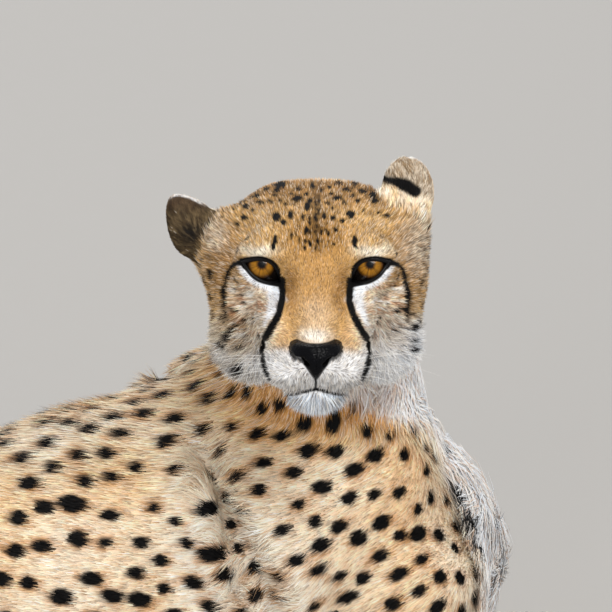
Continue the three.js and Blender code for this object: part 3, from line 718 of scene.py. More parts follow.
def scatter_spots():
    bare = (skin_points[:, 2] > 24) & (skin_normals[:, 2] > -0.55)
    head_side = to_head(skin_points)
    ahead = (turned_away(skin_normals) < 0.5) | (head_side[:, 0] > 0) | (head_side[:, 2] < -48)
    on_head = (head_side[:, 0] > -92) & (skin_points[:, 2] > HEAD_ABOVE) & ahead
    pool = np.flatnonzero(bare & ~on_head)
    pool = rng.permutation(pool)[:45000]
    P = skin_points[pool]
    rooms = spot_spacing(P) * rng.uniform(0.93, 1.12, len(P))
    grid, centres, sizes = {}, [], []
    for p, room in zip(P, rooms):
        key = tuple((p // 22).astype(int))
        near = [c for i in (-1, 0, 1) for j in (-1, 0, 1) for k in (-1, 0, 1)
                for c in grid.get((key[0] + i, key[1] + j, key[2] + k), ())]
        if all((p[0] - c[0]) ** 2 + (p[1] - c[1]) ** 2 + (p[2] - c[2]) ** 2 > room * room for c in near):
            grid.setdefault(key, []).append(p)
            centres.append(p)
            sizes.append(room)
    return np.array(centres), np.array(sizes)


spot_centres, spot_rooms = scatter_spots()
spot_ways, _ = hair_way(spot_centres.astype(np.float32))
spot_ways /= np.linalg.norm(spot_ways, axis=1)[:, None]
spot_short = spot_rooms * rng.uniform(0.23, 0.33, len(spot_rooms))
spot_long = spot_short * rng.uniform(1.25, 1.85, len(spot_rooms))
spot_tree = KDTree(len(spot_centres))
for i, centre in enumerate(spot_centres):
    spot_tree.insert(centre, i)
spot_tree.balance()
print(len(spot_centres), "spots on the body")


def spot_distance(P):
    """Signed distance to the edge of the nearest spot, below zero inside."""
    found = np.array([[i for _, i, _ in spot_tree.find_n(p, 3)] for p in P])
    best = np.full(len(P), 50.0)
    for i in found.T:
        q = P - spot_centres[i]
        along = (q * spot_ways[i]).sum(1)
        across = np.sqrt(np.maximum((q * q).sum(1) - along ** 2, 0))
        reach = np.sqrt((along / spot_long[i]) ** 2 + (across / spot_short[i]) ** 2)
        best = np.minimum(best, (reach - 1) * spot_short[i])
    return best

# %% [markdown]
# On the face the marks sit at fixed places. Seen square from the front, s runs to the animal's left and u
# up the face; both sides mirror each other, with a little wander.

# %% Marks of the face
TEAR_LINE = [
    (21.2, -8.5, 2.8), (20.4, -13, 2.2), (20.3, -20, 2.0), (22.4, -28.5, 2.1), (26, -35.5, 2.1), (30.2, -43, 2.5),
    (31.6, -47, 2.4), (32, -51, 2.3), (32.2, -56, 2.1), (31, -61, 1.6), (28.8, -66, 1.2), (27, -70.5, 0.7),
]
EYE_LINE = [
    (43, 3.6, 1.9), (47, 2.4, 1.5), (51, 0.6, 1.5), (53.5, -3.2, 1.4), (54.8, -9.5, 1.3), (56.2, -15.5, 1.9),
    (56, -21, 1.6), (55.3, -27, 1.2), (55, -33, 1.0),
]
BROW_MARKS = [(24.2, 18.5, 0.8), (24.4, 15, 1.5), (25, 11.5, 0.9)]
LIP_LINE = [(0, -74.2, 0.9), (7, -75.8, 1.0), (14, -77.6, 0.9), (20, -77.4, 0.5), (26, -74, 0.2)]
EAR_BAND = [(37, 54, 1.8), (42.5, 54, 2.4), (50.5, 52.2, 3.0), (56.5, 49.6, 3.9), (61.5, 46.8, 3.4)]
FACE_SPOTS = [  # s, u, half width, half height
    (-24, 30.4, 2.6, 2.8), (-15.4, 31.2, 1.5, 2.6), (-19.8, 27, 1.7, 1.6), (-7.8, 30, 1.2, 1.6),
    (20.9, 31.9, 2.8, 2.6), (16, 27.8, 1.5, 1.5), (10.4, 29.6, 1.5, 1.5), (5.1, 30.9, 1.1, 2.1),
    (-5.8, 22, 1.2, 2.5), (3.4, 21, 0.9, 2.2), (7.3, 20, 0.9, 1.6), (-14.9, 19.7, 0.7, 1.7),
    (-10.1, 17.3, 0.7, 1.7), (-6.5, 11.2, 0.8, 1.5), (10.7, 13.6, 0.7, 0.8), (12.4, 22.4, 0.8, 0.9),
    (-11, 41.4, 2.9, 1.8), (-21.5, 50.6, 2.6, 2.6), (-24, 47.4, 1.9, 1.6), (-10.7, 47.8, 1.8, 1.1),
    (-1.8, 49.9, 1.2, 2.2), (-3.5, 40, 1.2, 1.6), (-5.2, 36.5, 1.5, 2.4), (1.9, 39.7, 0.9, 3.2),
    (1.6, 33.4, 0.9, 2.3), (-0.4, 29, 0.9, 2.8), (-3.9, 27.6, 0.8, 2.4), (8.3, 49.2, 1.3, 1.0),
    (14.8, 51.6, 1.6, 1.0), (18.9, 47.2, 2.2, 1.1), (13.1, 42.1, 2.4, 1.3), (17.8, 39, 1.4, 0.9),
    (3.6, 47.2, 1.0, 0.9), (7.3, 38.7, 1.2, 0.8), (10, 35.6, 0.8, 1.1), (28.7, 46.4, 2.4, 1.4),
    (34.8, 44.1, 2.0, 1.7), (42.3, 43.6, 3.0, 2.0), (36.2, 40.6, 2.1, 1.2), (46.4, 38.2, 1.4, 0.9),
    (38.6, 33.4, 1.8, 1.0), (43, 31.4, 2.6, 1.1), (29, 34.6, 1.2, 1.2), (25.3, 40, 1.7, 1.1),
    (24, 51, 2.0, 1.5), (-34.1, 39.8, 2.2, 0.9), (-27.6, 40, 1.5, 1.0), (-25.3, 44, 1.4, 1.0),
    (-18.5, 38, 1.1, 0.8), (-21.5, 40.6, 1.1, 0.8), (-36.1, 44, 1.6, 1.1), (-30, 47.6, 1.8, 1.1),
    (-42.6, 37, 1.7, 1.4), (-38.5, 34.6, 1.5, 1.0), (-43.3, 29.9, 2.0, 1.8), (-48.3, 26.1, 1.9, 1.5),
    (-15, 45, 1.2, 0.9), (-6, 44.6, 1.1, 0.9), (9.4, 45, 1.1, 0.9), (23, 44, 1.2, 0.9), (-64.2, -4, 1.7, 2.8),
    (-48.9, -13.4, 2.1, 0.6), (-46.7, -16.9, 1.5, 0.8), (-44.5, -21.5, 1.8, 0.5), (-51.6, -25.8, 0.8, 2.0),
    (-44, -32.1, 1.5, 0.7), (-48.9, -35, 1.2, 1.4), (-51.4, -38, 1.5, 2.0), (-53, -42.4, 1.9, 2.4),
    (-55.9, -46.8, 1.9, 1.9), (-42, -42, 1.1, 1.1), (-46.7, -48.9, 2.5, 1.5), (-47, -61.5, 3.2, 3.0),
    (50.1, -27, 1.5, 1.2), (53.6, -25.7, 1.5, 1.1), (55.8, -28.2, 0.9, 1.3), (58.8, -28.3, 1.5, 1.1),
    (58.8, -36.3, 3.0, 2.0), (58.4, -44.6, 2.5, 1.5), (58, -49.4, 2.7, 1.7), (43.1, -39.8, 1.1, 1.3),
    (48.4, -38, 1.5, 0.9), (51.9, -35.9, 1.1, 0.9), (54, -62, 2.0, 1.0), (48, -11.4, 1.9, 0.5),
    (44.9, -32.8, 1.8, 0.6), (63.7, -10, 0.8, 2.6), (-58, -30, 1.0, 1.8),
]

# %% [markdown]
# A drawn mark has only two coordinates. A ray from the front tells how far ahead the skin lies at that place,
# so that the mark stays on its own surface and doesn't fall on the neck or the ear behind it.

# %% Marks laid on the skin
skin_ahead = to_head(skin_points)
skin_tree = BVHTree.FromPolygons(skin_ahead.tolist(), skin_tris.tolist())
DEPTH_COUNTS, LINE_DEPTH = 0.42, 0.2  # how much a difference in depth counts, for spots and for lines


def face_plane(H):
    return H[:, 1], H[:, 2] * math.cos(FACE_LEAN) - H[:, 0] * math.sin(FACE_LEAN)


def skin_depth(s, u):
    """How far ahead the skin lies at a place on the face, or None beside it."""
    start = np.array([-u * math.sin(FACE_LEAN), s, u * math.cos(FACE_LEAN)]) + 200 * FACE_WAY
    away = skin_tree.ray_cast(Vector(start), Vector(-FACE_WAY))[3]
    return None if away is None else 200 - away


def lay_on_skin(marks):
    """The drawn line as a chain on the skin: s, u, a share of the depth, half width."""
    marks = np.array(marks, float)
    at = np.r_[0, np.cumsum(np.linalg.norm(np.diff(marks[:, :2], axis=0), axis=1))]
    steps = np.linspace(0, at[-1], int(at[-1] / 2.5) + 2)
    laid = []
    for s, u, r in np.stack([np.interp(steps, at, column) for column in marks.T], 1):
        laid.append([s, u, LINE_DEPTH * skin_depth(s, u), r])
    return Chain(laid)


def lay_spots(spots):
    """Each spot with the depth of the skin under it."""
    laid = []
    for s, u, wide, tall in spots:
        depth = skin_depth(s, u)
        grow = 1.25 if u > 36 or (abs(s) > 50 and u < -30) else 1.05
        if depth is not None:
            laid.append([s, u, depth, wide * grow, tall * grow])
    return laid


def spots_laid(spots, H, s, u):
    best, depth = np.full(len(s), 20.0), H @ FACE_WAY
    for ms, mu, md, wide, tall in spots:
        deep = (depth - md) * DEPTH_COUNTS / (wide + tall + 1)
        reach = np.sqrt(((s - ms) / wide) ** 2 + ((u - mu) / tall) ** 2 + deep ** 2)
        best = np.minimum(best, (reach - 1) * min(wide, tall))
    return best


def laid_stroke(chain, H, s, u):
    return chain.distance(np.stack([s, u, LINE_DEPTH * (H @ FACE_WAY)], 1).astype(np.float32))


def speckles(s, u, room, short, long, seed, strength=1.0):
    """Small marks: one in each cell of a grid, at a place and of a size of its own."""
    a, b = s / room, u / (room * 1.15)
    a = a + 0.5 * (np.floor(b) % 2)
    cell = np.floor(a), np.floor(b)
    best = np.full(len(s), 20.0)
    for i in (-1, 0, 1):
        for j in (-1, 0, 1):
            ca, cb = cell[0] + i, cell[1] + j
            turn = ca * 127.1 + cb * 311.7 + seed * 74.7
            wander = [np.abs(np.sin(turn + k) * 43758.5453) % 1 for k in (0, 19.2, 47.9)]
            du = (b - cb - 0.1 - 0.8 * wander[0]) * room * 1.15
            ds = (a - ca - 0.1 - 0.8 * wander[1]) * room
            lean = 0.5 * (wander[2] - 0.5)
            reach = np.sqrt(((ds + lean * du) / short) ** 2 + (du / long) ** 2)
            grown = 0.55 + 0.9 * wander[2]
            best = np.minimum(best, (reach - grown * strength) * short)
    return best


LAID_LINES = [lay_on_skin(TEAR_LINE), lay_on_skin(EYE_LINE)]
LAID_LIPS = lay_on_skin(LIP_LINE)
LAID_SPOTS = lay_spots(FACE_SPOTS)
print(len(LAID_SPOTS), "spots laid on the face")

# %% All dark marks of head and ears
def face_marks(H, away, side_spots):
    """Signed distance to the dark marks of head and ears."""
    s, u = face_plane(H)
    a = np.abs(s)
    wander = noise(H, 5, 2)
    front = H[:, 0] > -30
    lines = np.minimum(*(laid_stroke(line, H, a, u) for line in LAID_LINES))
    d = np.minimum(np.where(front, lines + 0.5 * wander, 20), side_spots + 4 * (1 - away))
    rim = lid_gap(a, H[:, 2])
    lid = rim - np.where(u > -2, 2.3, 1.5) + 0.3 * wander
    d = np.minimum(d, np.where(H[:, 0] > 0, lid, 20))
    d = np.minimum(d, np.where(front, stroke(BROW_MARKS, a + 0.6 * np.sign(s), u) + 1.1 * noise(H, 2, 17), 20))
    d = np.minimum(d, spots_laid(LAID_SPOTS, H, s, u) + 0.7 * noise(H, 2.2, 11) + 0.3 * noise(H, 1.2, 12))
    middle = np.where(front, stroke([(0, 46, 0.9), (0.4, 26, 0.7), (-0.4, 5, 0.5)], s, u), 20)
    d = np.minimum(d, middle + 1.5 * noise(H, 2.0, 5) + 0.35)
    brow = smooth(6, 14, u) * smooth(34, 26, u) * smooth(24, 12, a)
    d = np.minimum(d, speckles(s, u, 5.2, 0.7, 1.3, 4, 0.9) + 3 * (1 - brow) + 0.8 * noise(H, 2.5, 8))
    cheek = smooth(28, 34, a) * smooth(60, 52, a) * smooth(-12, -18, u) * smooth(-54, -42, u)
    dashes = speckles(a + 0.2 * u, u, 5.6, 1.5, 0.45, 31, 0.85) + 3 * (1 - cheek * (1 - away))
    d = np.minimum(d, np.where(front, dashes + 0.5 * noise(H, 2.5, 15), 20))
    left_ear, right_ear = (ear_field(H, k) < 4 for k in (1, -1))
    band = stroke(EAR_BAND, s, u) + 0.8 * wander
    d = np.where(left_ear, band, np.where(right_ear, 20, d))
    inner_ear = np.minimum(np.where(left_ear, -in_ear(H, 1)[:, 2], -20), 20)
    d = np.where(left_ear & (inner_ear > 3), 20, d)
    d = np.where(H[:, 0] > 58, np.minimum(d, nose_outline(s, H[:, 2]) - 0.4), d)
    d = np.where(H[:, 0] > 55, np.minimum(d, stroke([(0, -64, 0.9), (0, -75, 0.6)], s, u)), d)
    return np.minimum(d, np.where(H[:, 0] > 20, laid_stroke(LAID_LIPS, H, a, u), 20))

# %% [markdown]
# The ground colour under the marks: a base that changes from crown to chin, and a few soft patches.

# %% Ground colours
def paint(red, green, blue):
    """A colour as a painter names it, 0 to 255, to the light it gives back."""
    c = np.array([red, green, blue]) / 255
    return np.where(c <= 0.04045, c / 12.92, ((c + 0.055) / 1.055) ** 2.4)


TAWNY, SAND, CREAM = paint(208, 150, 82), paint(240, 202, 152), paint(253, 240, 220)
# The brightest white carries a painted bluish cast of sky light over white fur.
WHITE, SKYLIT_WHITE, SOOT = paint(230, 233, 236), paint(243, 248, 254), paint(8, 7, 7)
# The second colour here, a warm grey, is painted shade for white fur turned from the light.
UMBER, SHADE_GREY = paint(144, 104, 58), paint(150, 140, 124)


def blend(a, b, t):
    return a + (b - a) * np.clip(t, 0, 1)[:, None]


def mixed(a, b, t):
    """Two plain colours, mixed at every point by its own share."""
    return blend(np.tile(a, (len(t), 1)), b, t)


def soft_patch(s, u, at, reach):
    """One inside a soft oval on the face, falling to nothing round it."""
    return np.exp(-(((s - at[0]) / reach[0]) ** 2 + ((u - at[1]) / reach[1]) ** 2) ** 1.5)


FACE_PATCHES = [  # s, u, reach across, reach along, colour, strength; both sides
    (0, 18, 19, 16, paint(158, 112, 50), 0.8),  # forehead
    (0, -8, 13, 20, paint(190, 146, 88), 0.9),  # root of the nose
    # beside the root of the nose, darker gold: partly the fur's own colour, partly painted shade in the hollow
    # between eye and bridge
    (15.5, -14, 6, 17, paint(146, 104, 54), 0.75),  # beside it
    (0, -30, 10, 12, paint(214, 182, 144), 0.85),  # end of the bridge
    (0, -42, 10, 5.5, paint(236, 226, 212), 0.95),
    (57, 4, 12, 26, paint(160, 122, 78), 0.8),  # temple
    (38, -22, 13, 13, paint(232, 206, 178), 0.95),  # cheek
    (44, -36, 13, 16, paint(232, 210, 186), 0.8),
    (21, -45, 7, 7, paint(214, 172, 120), 0.85),  # beside the nose
    (35, 9.5, 12, 4.6, paint(232, 220, 198), 0.95),  # above the eye
]

# %% Ground colours of the head
PALE_STRIP = [(25.5, -12, 4.2), (25, -20, 3.4), (28, -29, 2.0), (31.5, -36, 0.5)]  # beside the tear line


def head_ground(H):
    s, u = face_plane(H)
    a = np.abs(s) + 1.5 * noise(H, 7, 1)
    w = u + 2 * noise(H, 8, 12)
    base = mixed(paint(202, 160, 100), UMBER, 0.85 * smooth(30, 48, u) * (0.85 + 0.4 * noise(H, 6, 45)))
    base = blend(base, CREAM, smooth(-22, -46, w) * smooth(14, 30, a))
    base = blend(base, paint(215, 213, 211), smooth(-44, -54, w))
    # The chin is a bluish grey white: white fur with painted bluish shade under the head.
    base = blend(base, paint(200, 208, 218), smooth(-75, -80, w) * smooth(24, 16, a))
    # On the animal's left only, the side towards the light, the lower cheek and ruff get the brightest white: painted
    # light over white fur.
    base = blend(base, SKYLIT_WHITE, smooth(-26, -42, w) * smooth(28, 42, s))
    # On the animal's right, the side turned from the light, the ruff is mottled grey: painted shade over white fur.
    base = blend(base, SHADE_GREY, 0.8 * smooth(-30, -50, w) * smooth(-34, -50, s) * (1 + noise(H, 5, 21)) / 2)
    behind = smooth(-62, -82, H[:, 0] + 0.25 * s + 3 * noise(H, 9, 49))
    base = blend(base, mixed(SAND, TAWNY, 0.45 + 0.4 * noise(H, 14, 50)), 0.9 * behind)
    for ps, pu, rs, ru, colour, strength in FACE_PATCHES:
        base = blend(base, colour, strength * soft_patch(a, w, (ps, pu), (rs, ru)) * (H[:, 0] > -70))
    # A brownish patch on the animal's right jowl only, the side turned from the light: partly the cheek's own colour,
    # partly painted shade.
    jowl = soft_patch(s, w, (-49, -37), (13, 12))
    base = blend(base, paint(176, 146, 102), 0.75 * jowl * (0.8 + 0.5 * noise(H, 4, 48)))
    streaks = noise(np.stack([s, 4.5 * w, 0 * s], 1), 5.5, 41)
    on_cheek = smooth(24, 32, a) * smooth(58, 50, a) * smooth(-2, -12, u) * smooth(-50, -40, u) * (H[:, 0] > -40)
    base = blend(base, paint(176, 122, 82), 0.75 * on_cheek * smooth(0.1, 0.6, streaks))
    base = blend(base, paint(246, 238, 226), 0.8 * on_cheek * smooth(-0.1, -0.6, streaks))
    ridge = smooth(5.5, 1.5, np.abs(s)) * smooth(4, 12, u) * (H[:, 0] > -75)
    base = blend(base, paint(90, 62, 28), 0.6 * ridge * (0.7 + 0.5 * noise(H, 4, 42)))
    fan = soft_patch(s, w, (68, 18), (14, 24))
    base = blend(base, mixed(paint(214, 200, 178), UMBER, 0.35 + 0.5 * noise(H, 3, 43)), 0.85 * fan)
    tuft = soft_patch(s, w, (-62, 20), (8, 10))
    base = blend(base, CREAM, 0.55 * tuft * (0.7 + 0.5 * noise(H, 3, 44)))
    rim = lid_gap(np.abs(s), H[:, 2])
    below = 0.9 * smooth(6.0, 3.8, rim) * smooth(-1, -4, lid_axes(np.abs(s), H[:, 2])[1]) * (H[:, 0] > -4)
    base = blend(base, SKYLIT_WHITE, below * smooth(50, 45, np.abs(s)))
    strip = stroke(PALE_STRIP, np.abs(s), u) + 1.2 * noise(H, 4, 51)
    base = blend(base, SKYLIT_WHITE, 0.85 * smooth(2, -1.5, strip) * (H[:, 0] > -20))
    for side in EARS:
        Q = in_ear(H, side)
        here = smooth(5, 1.5, ear_field(H, side))
        rim = np.sqrt((Q[:, 0] / (EAR["length"] - 1.2)) ** 2 + (Q[:, 1] / (EARS[side]["width"] - 1.2)) ** 2)
        turn = np.arctan2(Q[:, 1], Q[:, 0] + 16)
        strands = noise(np.stack([turn * 26, Q[:, 0] * 0.35, 0 * s], 1), 1.6, 35)
        if side > 0:
            colour = mixed(paint(142, 120, 92), CREAM, 0.2 + 0.45 * strands)
            root = smooth(52, 46, u + 0.35 * (s - 50))
            colour = blend(colour, mixed(SAND, CREAM, 0.4 + 0.6 * noise(H, 4, 36)), 0.8 * root)
        else:
            # The animal's right ear, turned from the light: its dark browns are partly its own colour and partly
            # painted shade, and the soft dark patch is painted shade.
            colour = mixed(paint(66, 52, 34), paint(146, 124, 90), 0.12 + 0.55 * strands)
            colour = blend(colour, paint(78, 58, 42), 0.6 * smooth(32, 40, u))
            shaded = stroke([(-70, 24, 3), (-77, 21, 5)], s, u) + 2 * noise(H, 5, 34)
            colour = blend(colour, SOOT, 0.85 * smooth(4, -3, shaded) * (1 - 0.7 * smooth(0.1, 0.6, strands)))
        colour = blend(colour, WHITE, 0.9 * smooth(0.95, 1.0, rim) * smooth(2, 10, Q[:, 0]) * smooth(4, -2, Q[:, 1]))
        colour = blend(colour, CREAM, smooth(-0.5, -3, Q[:, 2]))
        base = base + (colour - base) * here[:, None]
    return base

# %% Ground colours of the body
TAIL_AT = np.r_[0, np.cumsum(np.linalg.norm(np.diff(TAIL.joints[:, :3], axis=0), axis=1))]
RINGS_FROM, RING_STEP = 480, 51  # millimetres along the tail
print("tail:", round(float(TAIL_AT[-1])), "mm along its curve")


def body_ground(P, N):
    x, y, z = P.T
    lumps = noise(P, 42, 4)
    back = smooth(205, 292, z + 14 * lumps) * smooth(320, 230, x)
    gold = 0.08 + 0.3 * lumps + 0.24 * back + 0.06 * smooth(250, 190, z)
    gold = gold + 0.8 * smooth(290, 320, z) * smooth(80, 180, x) * smooth(60, -20, y)
    low = smooth(120, 60, z) * (0.6 - 0.2 * N[:, 2])
    gold = gold + 0.22 * low * smooth(-0.2, 0.6, N[:, 2] + 0.3)
    base = mixed(CREAM, SAND, gold * 1.7)
    base = blend(base, TAWNY, smooth(0.5, 1.15, gold))
    under = smooth(-0.05, -0.6, N[:, 2]) * smooth(150, 70, z)
    inner = smooth(95, 60, np.abs(y)) * smooth(90, 40, z) * smooth(-100, -60, x)
    base = blend(base, WHITE, np.maximum(under, inner))
    crease = smooth(16, 3, FOLD.distance(one_side(P))) * smooth(262, 220, z)
    base = blend(base, paint(176, 124, 62), 0.7 * crease * smooth(-0.3, 0.5, noise(P, 6, 47)))
    # White of throat and chest; high on the throat it turns to the brightest bluish white, painted sky light that
    # lightens the fur under the chin.
    base = blend(base, mixed(WHITE, SKYLIT_WHITE, smooth(275, 300, z)), chest_white(P))
    on_tail = smooth(8, 2, TAIL.distance(P)) * smooth(-430, -470, x)
    _, along = TAIL.way(P)
    along = np.interp(along, np.linspace(0, 1, len(TAIL_AT)), TAIL_AT)
    base = blend(base, mixed(SAND, TAWNY, 0.4 + 0.8 * lumps), on_tail)
    base = blend(base, WHITE, on_tail * smooth(-0.1, -0.7, N[:, 2]))
    return blend(base, WHITE, on_tail * smooth(708, 718, along)), on_tail, along

# %% Ground and marks together
CHEST_SMUDGES = [  # dark tufts in the white of the chest
    ((285, -44, 233), 6.5), ((291, -52, 218), 6), ((289, -64, 204), 6), ((293, -30, 205), 5), ((284, -16, 246), 5),
    ((272, 30, 240), 6), ((290, 20, 214), 5),
]


def markings(P, N):
    """Ground colour, signed distance to the dark marks and their softness, at points on the skin."""
    ground, on_tail, along = body_ground(P, N)
    marks = spot_distance(P) + 0.9 * noise(P, 3.4, 6)
    halo = 0.62 * smooth(4.2, 0.4, marks) * smooth(-0.5, 0.5, noise(P, 8, 46)) * (P[:, 2] > 60)
    ground = blend(ground, paint(204, 138, 58), halo * (1 - chest_white(P)))
    between_legs = smooth(70, 45, np.abs(P[:, 1])) * smooth(120, 80, P[:, 2]) * (1 - on_tail)
    marks = marks + 9 * smooth(0.2, 0.9, chest_white(P)) + 6 * between_legs
    for at, size in CHEST_SMUDGES:
        smudge = np.linalg.norm((P - np.float32(at)) / (1, 1, 1.5), axis=1) - size + 2.2 * noise(P, 6, 13)
        marks = np.minimum(marks, smudge)
    ring = np.round((along - RINGS_FROM) / RING_STEP)
    rings = np.abs(along - RINGS_FROM - ring * RING_STEP) - 9 - 1.2 * ring
    ringed = on_tail * (ring >= 0) * (ring <= 4)
    marks = np.where(ringed > 0.5, rings + 3 * noise(P, 9, 9), marks) + 20 * on_tail * smooth(700, 708, along)
    soft = np.full(len(P), 1.1)
    up = P[:, 2] > NECK_MIDDLE
    H = to_head(P[up])
    face = smooth(-104, -84, H[:, 0] + 0.35 * H[:, 2] + 3 * noise(H, 9, 3))
    ground[up] = blend(ground[up], head_ground(H), face)
    nape = smooth(-45, -20, P[up, 1]) * smooth(345, 375, P[up, 2])
    nape = nape * smooth(-62, -84, H[:, 0]) * smooth(50, 25, H[:, 1])
    ground[up] = blend(ground[up], mixed(SAND, TAWNY, 0.35 + 0.4 * noise(H, 14, 50)), nape)
    marks[up] = np.where(face > 0.5, face_marks(H, turned_away(N[up]), marks[up]), marks[up])
    by_ear = np.minimum(ear_field(H, 1), ear_field(H, -1)) < 4
    soft[up] = np.where(face > 0.5, np.where(by_ear, 1.2, 0.55), soft[up])
    return ground, marks, soft


def coat_colour(P, N):
    ground, marks, soft = markings(P, N)
    return blend(ground, SOOT, smooth(1, -1, marks / soft)), marks

# %% [markdown]
# ## Materials
# Every finish shares one effect: a colour that wanders a little, a roughness that wanders with it, and a
# fine height for a bump. It is built once as a node group and used with other values each time.

# %% A group for grain
def node_group(name, inputs, outputs):
    group = bpy.data.node_groups.new(name, "ShaderNodeTree")
    for label, kind, value in inputs:
        socket = group.interface.new_socket(label, in_out="INPUT", socket_type=kind)
        socket.default_value = value
    for label, kind in outputs:
        group.interface.new_socket(label, in_out="OUTPUT", socket_type=kind)
    return group, group.nodes.new("NodeGroupInput").outputs, group.nodes.new("NodeGroupOutput").inputs


def add(tree, kind, links=(), **settings):
    """A node; links fills its inputs with values or with other sockets."""
    node = tree.nodes.new(kind)
    for name, value in settings.items():
        setattr(node, name, value)
    for key, value in dict(links).items():
        if isinstance(value, bpy.types.NodeSocket):
            tree.links.new(value, node.inputs[key])
        else:
            node.inputs[key].default_value = value
    return node


grain, given, result = node_group(
    "Grain",
    [("Colour", "NodeSocketColor", (0.5, 0.5, 0.5, 1)), ("Grains per metre", "NodeSocketFloat", 400),
     ("Colour change", "NodeSocketFloat", 0.1), ("Smoothest", "NodeSocketFloat", 0.4),
     ("Roughest", "NodeSocketFloat", 0.6)],
    [("Colour", "NodeSocketColor"), ("Roughness", "NodeSocketFloat"), ("Height", "NodeSocketFloat")])
place = add(grain, "ShaderNodeTexCoord").outputs["Object"]
fine = add(grain, "ShaderNodeTexNoise", {"Vector": place, "Scale": given["Grains per metre"], "Detail": 3.0})
swing = add(grain, "ShaderNodeMath", {0: fine.outputs["Fac"], 1: 0.5}, operation="SUBTRACT").outputs[0]
swing = add(grain, "ShaderNodeMath", {0: swing, 1: given["Colour change"]}, operation="MULTIPLY").outputs[0]
swing = add(grain, "ShaderNodeMath", {0: swing, 1: 1.0}, operation="ADD").outputs[0]
tinted = add(grain, "ShaderNodeVectorMath", {0: given["Colour"], "Scale": swing}, operation="SCALE").outputs[0]
rough = add(grain, "ShaderNodeMapRange", {"Value": fine.outputs["Fac"], "From Min": 0.3, "From Max": 0.7,
                                          "To Min": given["Smoothest"], "To Max": given["Roughest"]}).outputs[0]
for label, value in (("Colour", tinted), ("Roughness", rough), ("Height", fine.outputs["Fac"])):
    grain.links.new(value, result[label])


def finish(name, colour, grains, change, smoothest, roughest, bump, depth, **shader_values):
    """A material whose colour is a value or the name of an attribute; returns it with its tree and shader."""
    material = bpy.data.materials.new(name)
    material.use_nodes = True
    tree = material.node_tree
    shader = tree.nodes["Principled BSDF"]
    effect = add(tree, "ShaderNodeGroup", node_tree=grain)
    for label, value in (("Grains per metre", grains), ("Colour change", change),
                         ("Smoothest", smoothest), ("Roughest", roughest)):
        effect.inputs[label].default_value = value
    if isinstance(colour, str):
        tree.links.new(add(tree, "ShaderNodeAttribute", attribute_name=colour).outputs["Color"],
                       effect.inputs["Colour"])
    else:
        effect.inputs["Colour"].default_value = (*colour, 1)
    tree.links.new(effect.outputs["Colour"], shader.inputs["Base Color"])
    tree.links.new(effect.outputs["Roughness"], shader.inputs["Roughness"])
    raised = add(tree, "ShaderNodeBump", {"Height": effect.outputs["Height"], "Strength": bump, "Distance": depth})
    tree.links.new(raised.outputs["Normal"], shader.inputs["Normal"])
    for label, value in shader_values.items():
        shader.inputs[label.replace("_", " ").title().replace("Ior", "IOR")].default_value = value
    return material, tree, shader, effect, raised


skin_finish, tree, _, effect, _ = finish(
    "Skin under the coat", "ground", 900, 0.5, 0.7, 0.9, 0.5, 0.0006, specular_ior_level=0.15)
mark = add(tree, "ShaderNodeAttribute", attribute_name="mark").outputs["Fac"]
edge = add(tree, "ShaderNodeMapRange", {"Value": mark, "From Min": -1.0, "From Max": 1.0},
           interpolation_type="SMOOTHSTEP").outputs[0]
ground = effect.inputs["Colour"].links[0].from_socket
both = add(tree, "ShaderNodeMix", {"Factor": edge, 6: (*SOOT, 1), 7: ground}, data_type="RGBA")
tree.links.new(both.outputs[2], effect.inputs["Colour"])
coat_finish = finish("Hair of the coat", "tint", 500, 0.18, 0.55, 0.75, 0.05, 0.0002, specular_ior_level=0.2)[0]
print("materials so far:", len(bpy.data.materials))

# %% Colours on the skin
def put(mesh, name, kind, values):
    """An attribute on the corners of a mesh."""
    field = {"FLOAT_COLOR": "color", "FLOAT_VECTOR": "vector", "FLOAT": "value"}[kind]
    mesh.attributes.new(name, kind, "POINT").data.foreach_set(field, np.float32(values).ravel())


def put_colours(mesh, name, colours):
    put(mesh, name, "FLOAT_COLOR", np.c_[colours, np.ones(len(colours))])


skin_ground, skin_marks, skin_soft = markings(skin_points, skin_normals)
put_colours(skin.data, "ground", skin_ground)
put(skin.data, "mark", "FLOAT", skin_marks / skin_soft)
skin.data.materials.clear()
skin.data.materials.append(skin_finish)
print("dark part of the skin:", round(float((skin_marks < 0).mean()), 3))

# %% [markdown]
# ## Eyes
# An eyeball is a ball with a slightly steeper window in front. It is turned about the line of sight, with
# close rings over the iris, and each corner stores where it lies across that line. The material needs
# nothing else to draw pupil, fibres and the dark ring, and a clear coat makes it wet.

# %% Eyeballs
GAZE = np.array([math.cos(math.radians(21.5)), 0, math.sin(math.radians(21.5))])
IRIS = 8.7
EYE_TURNS = 72


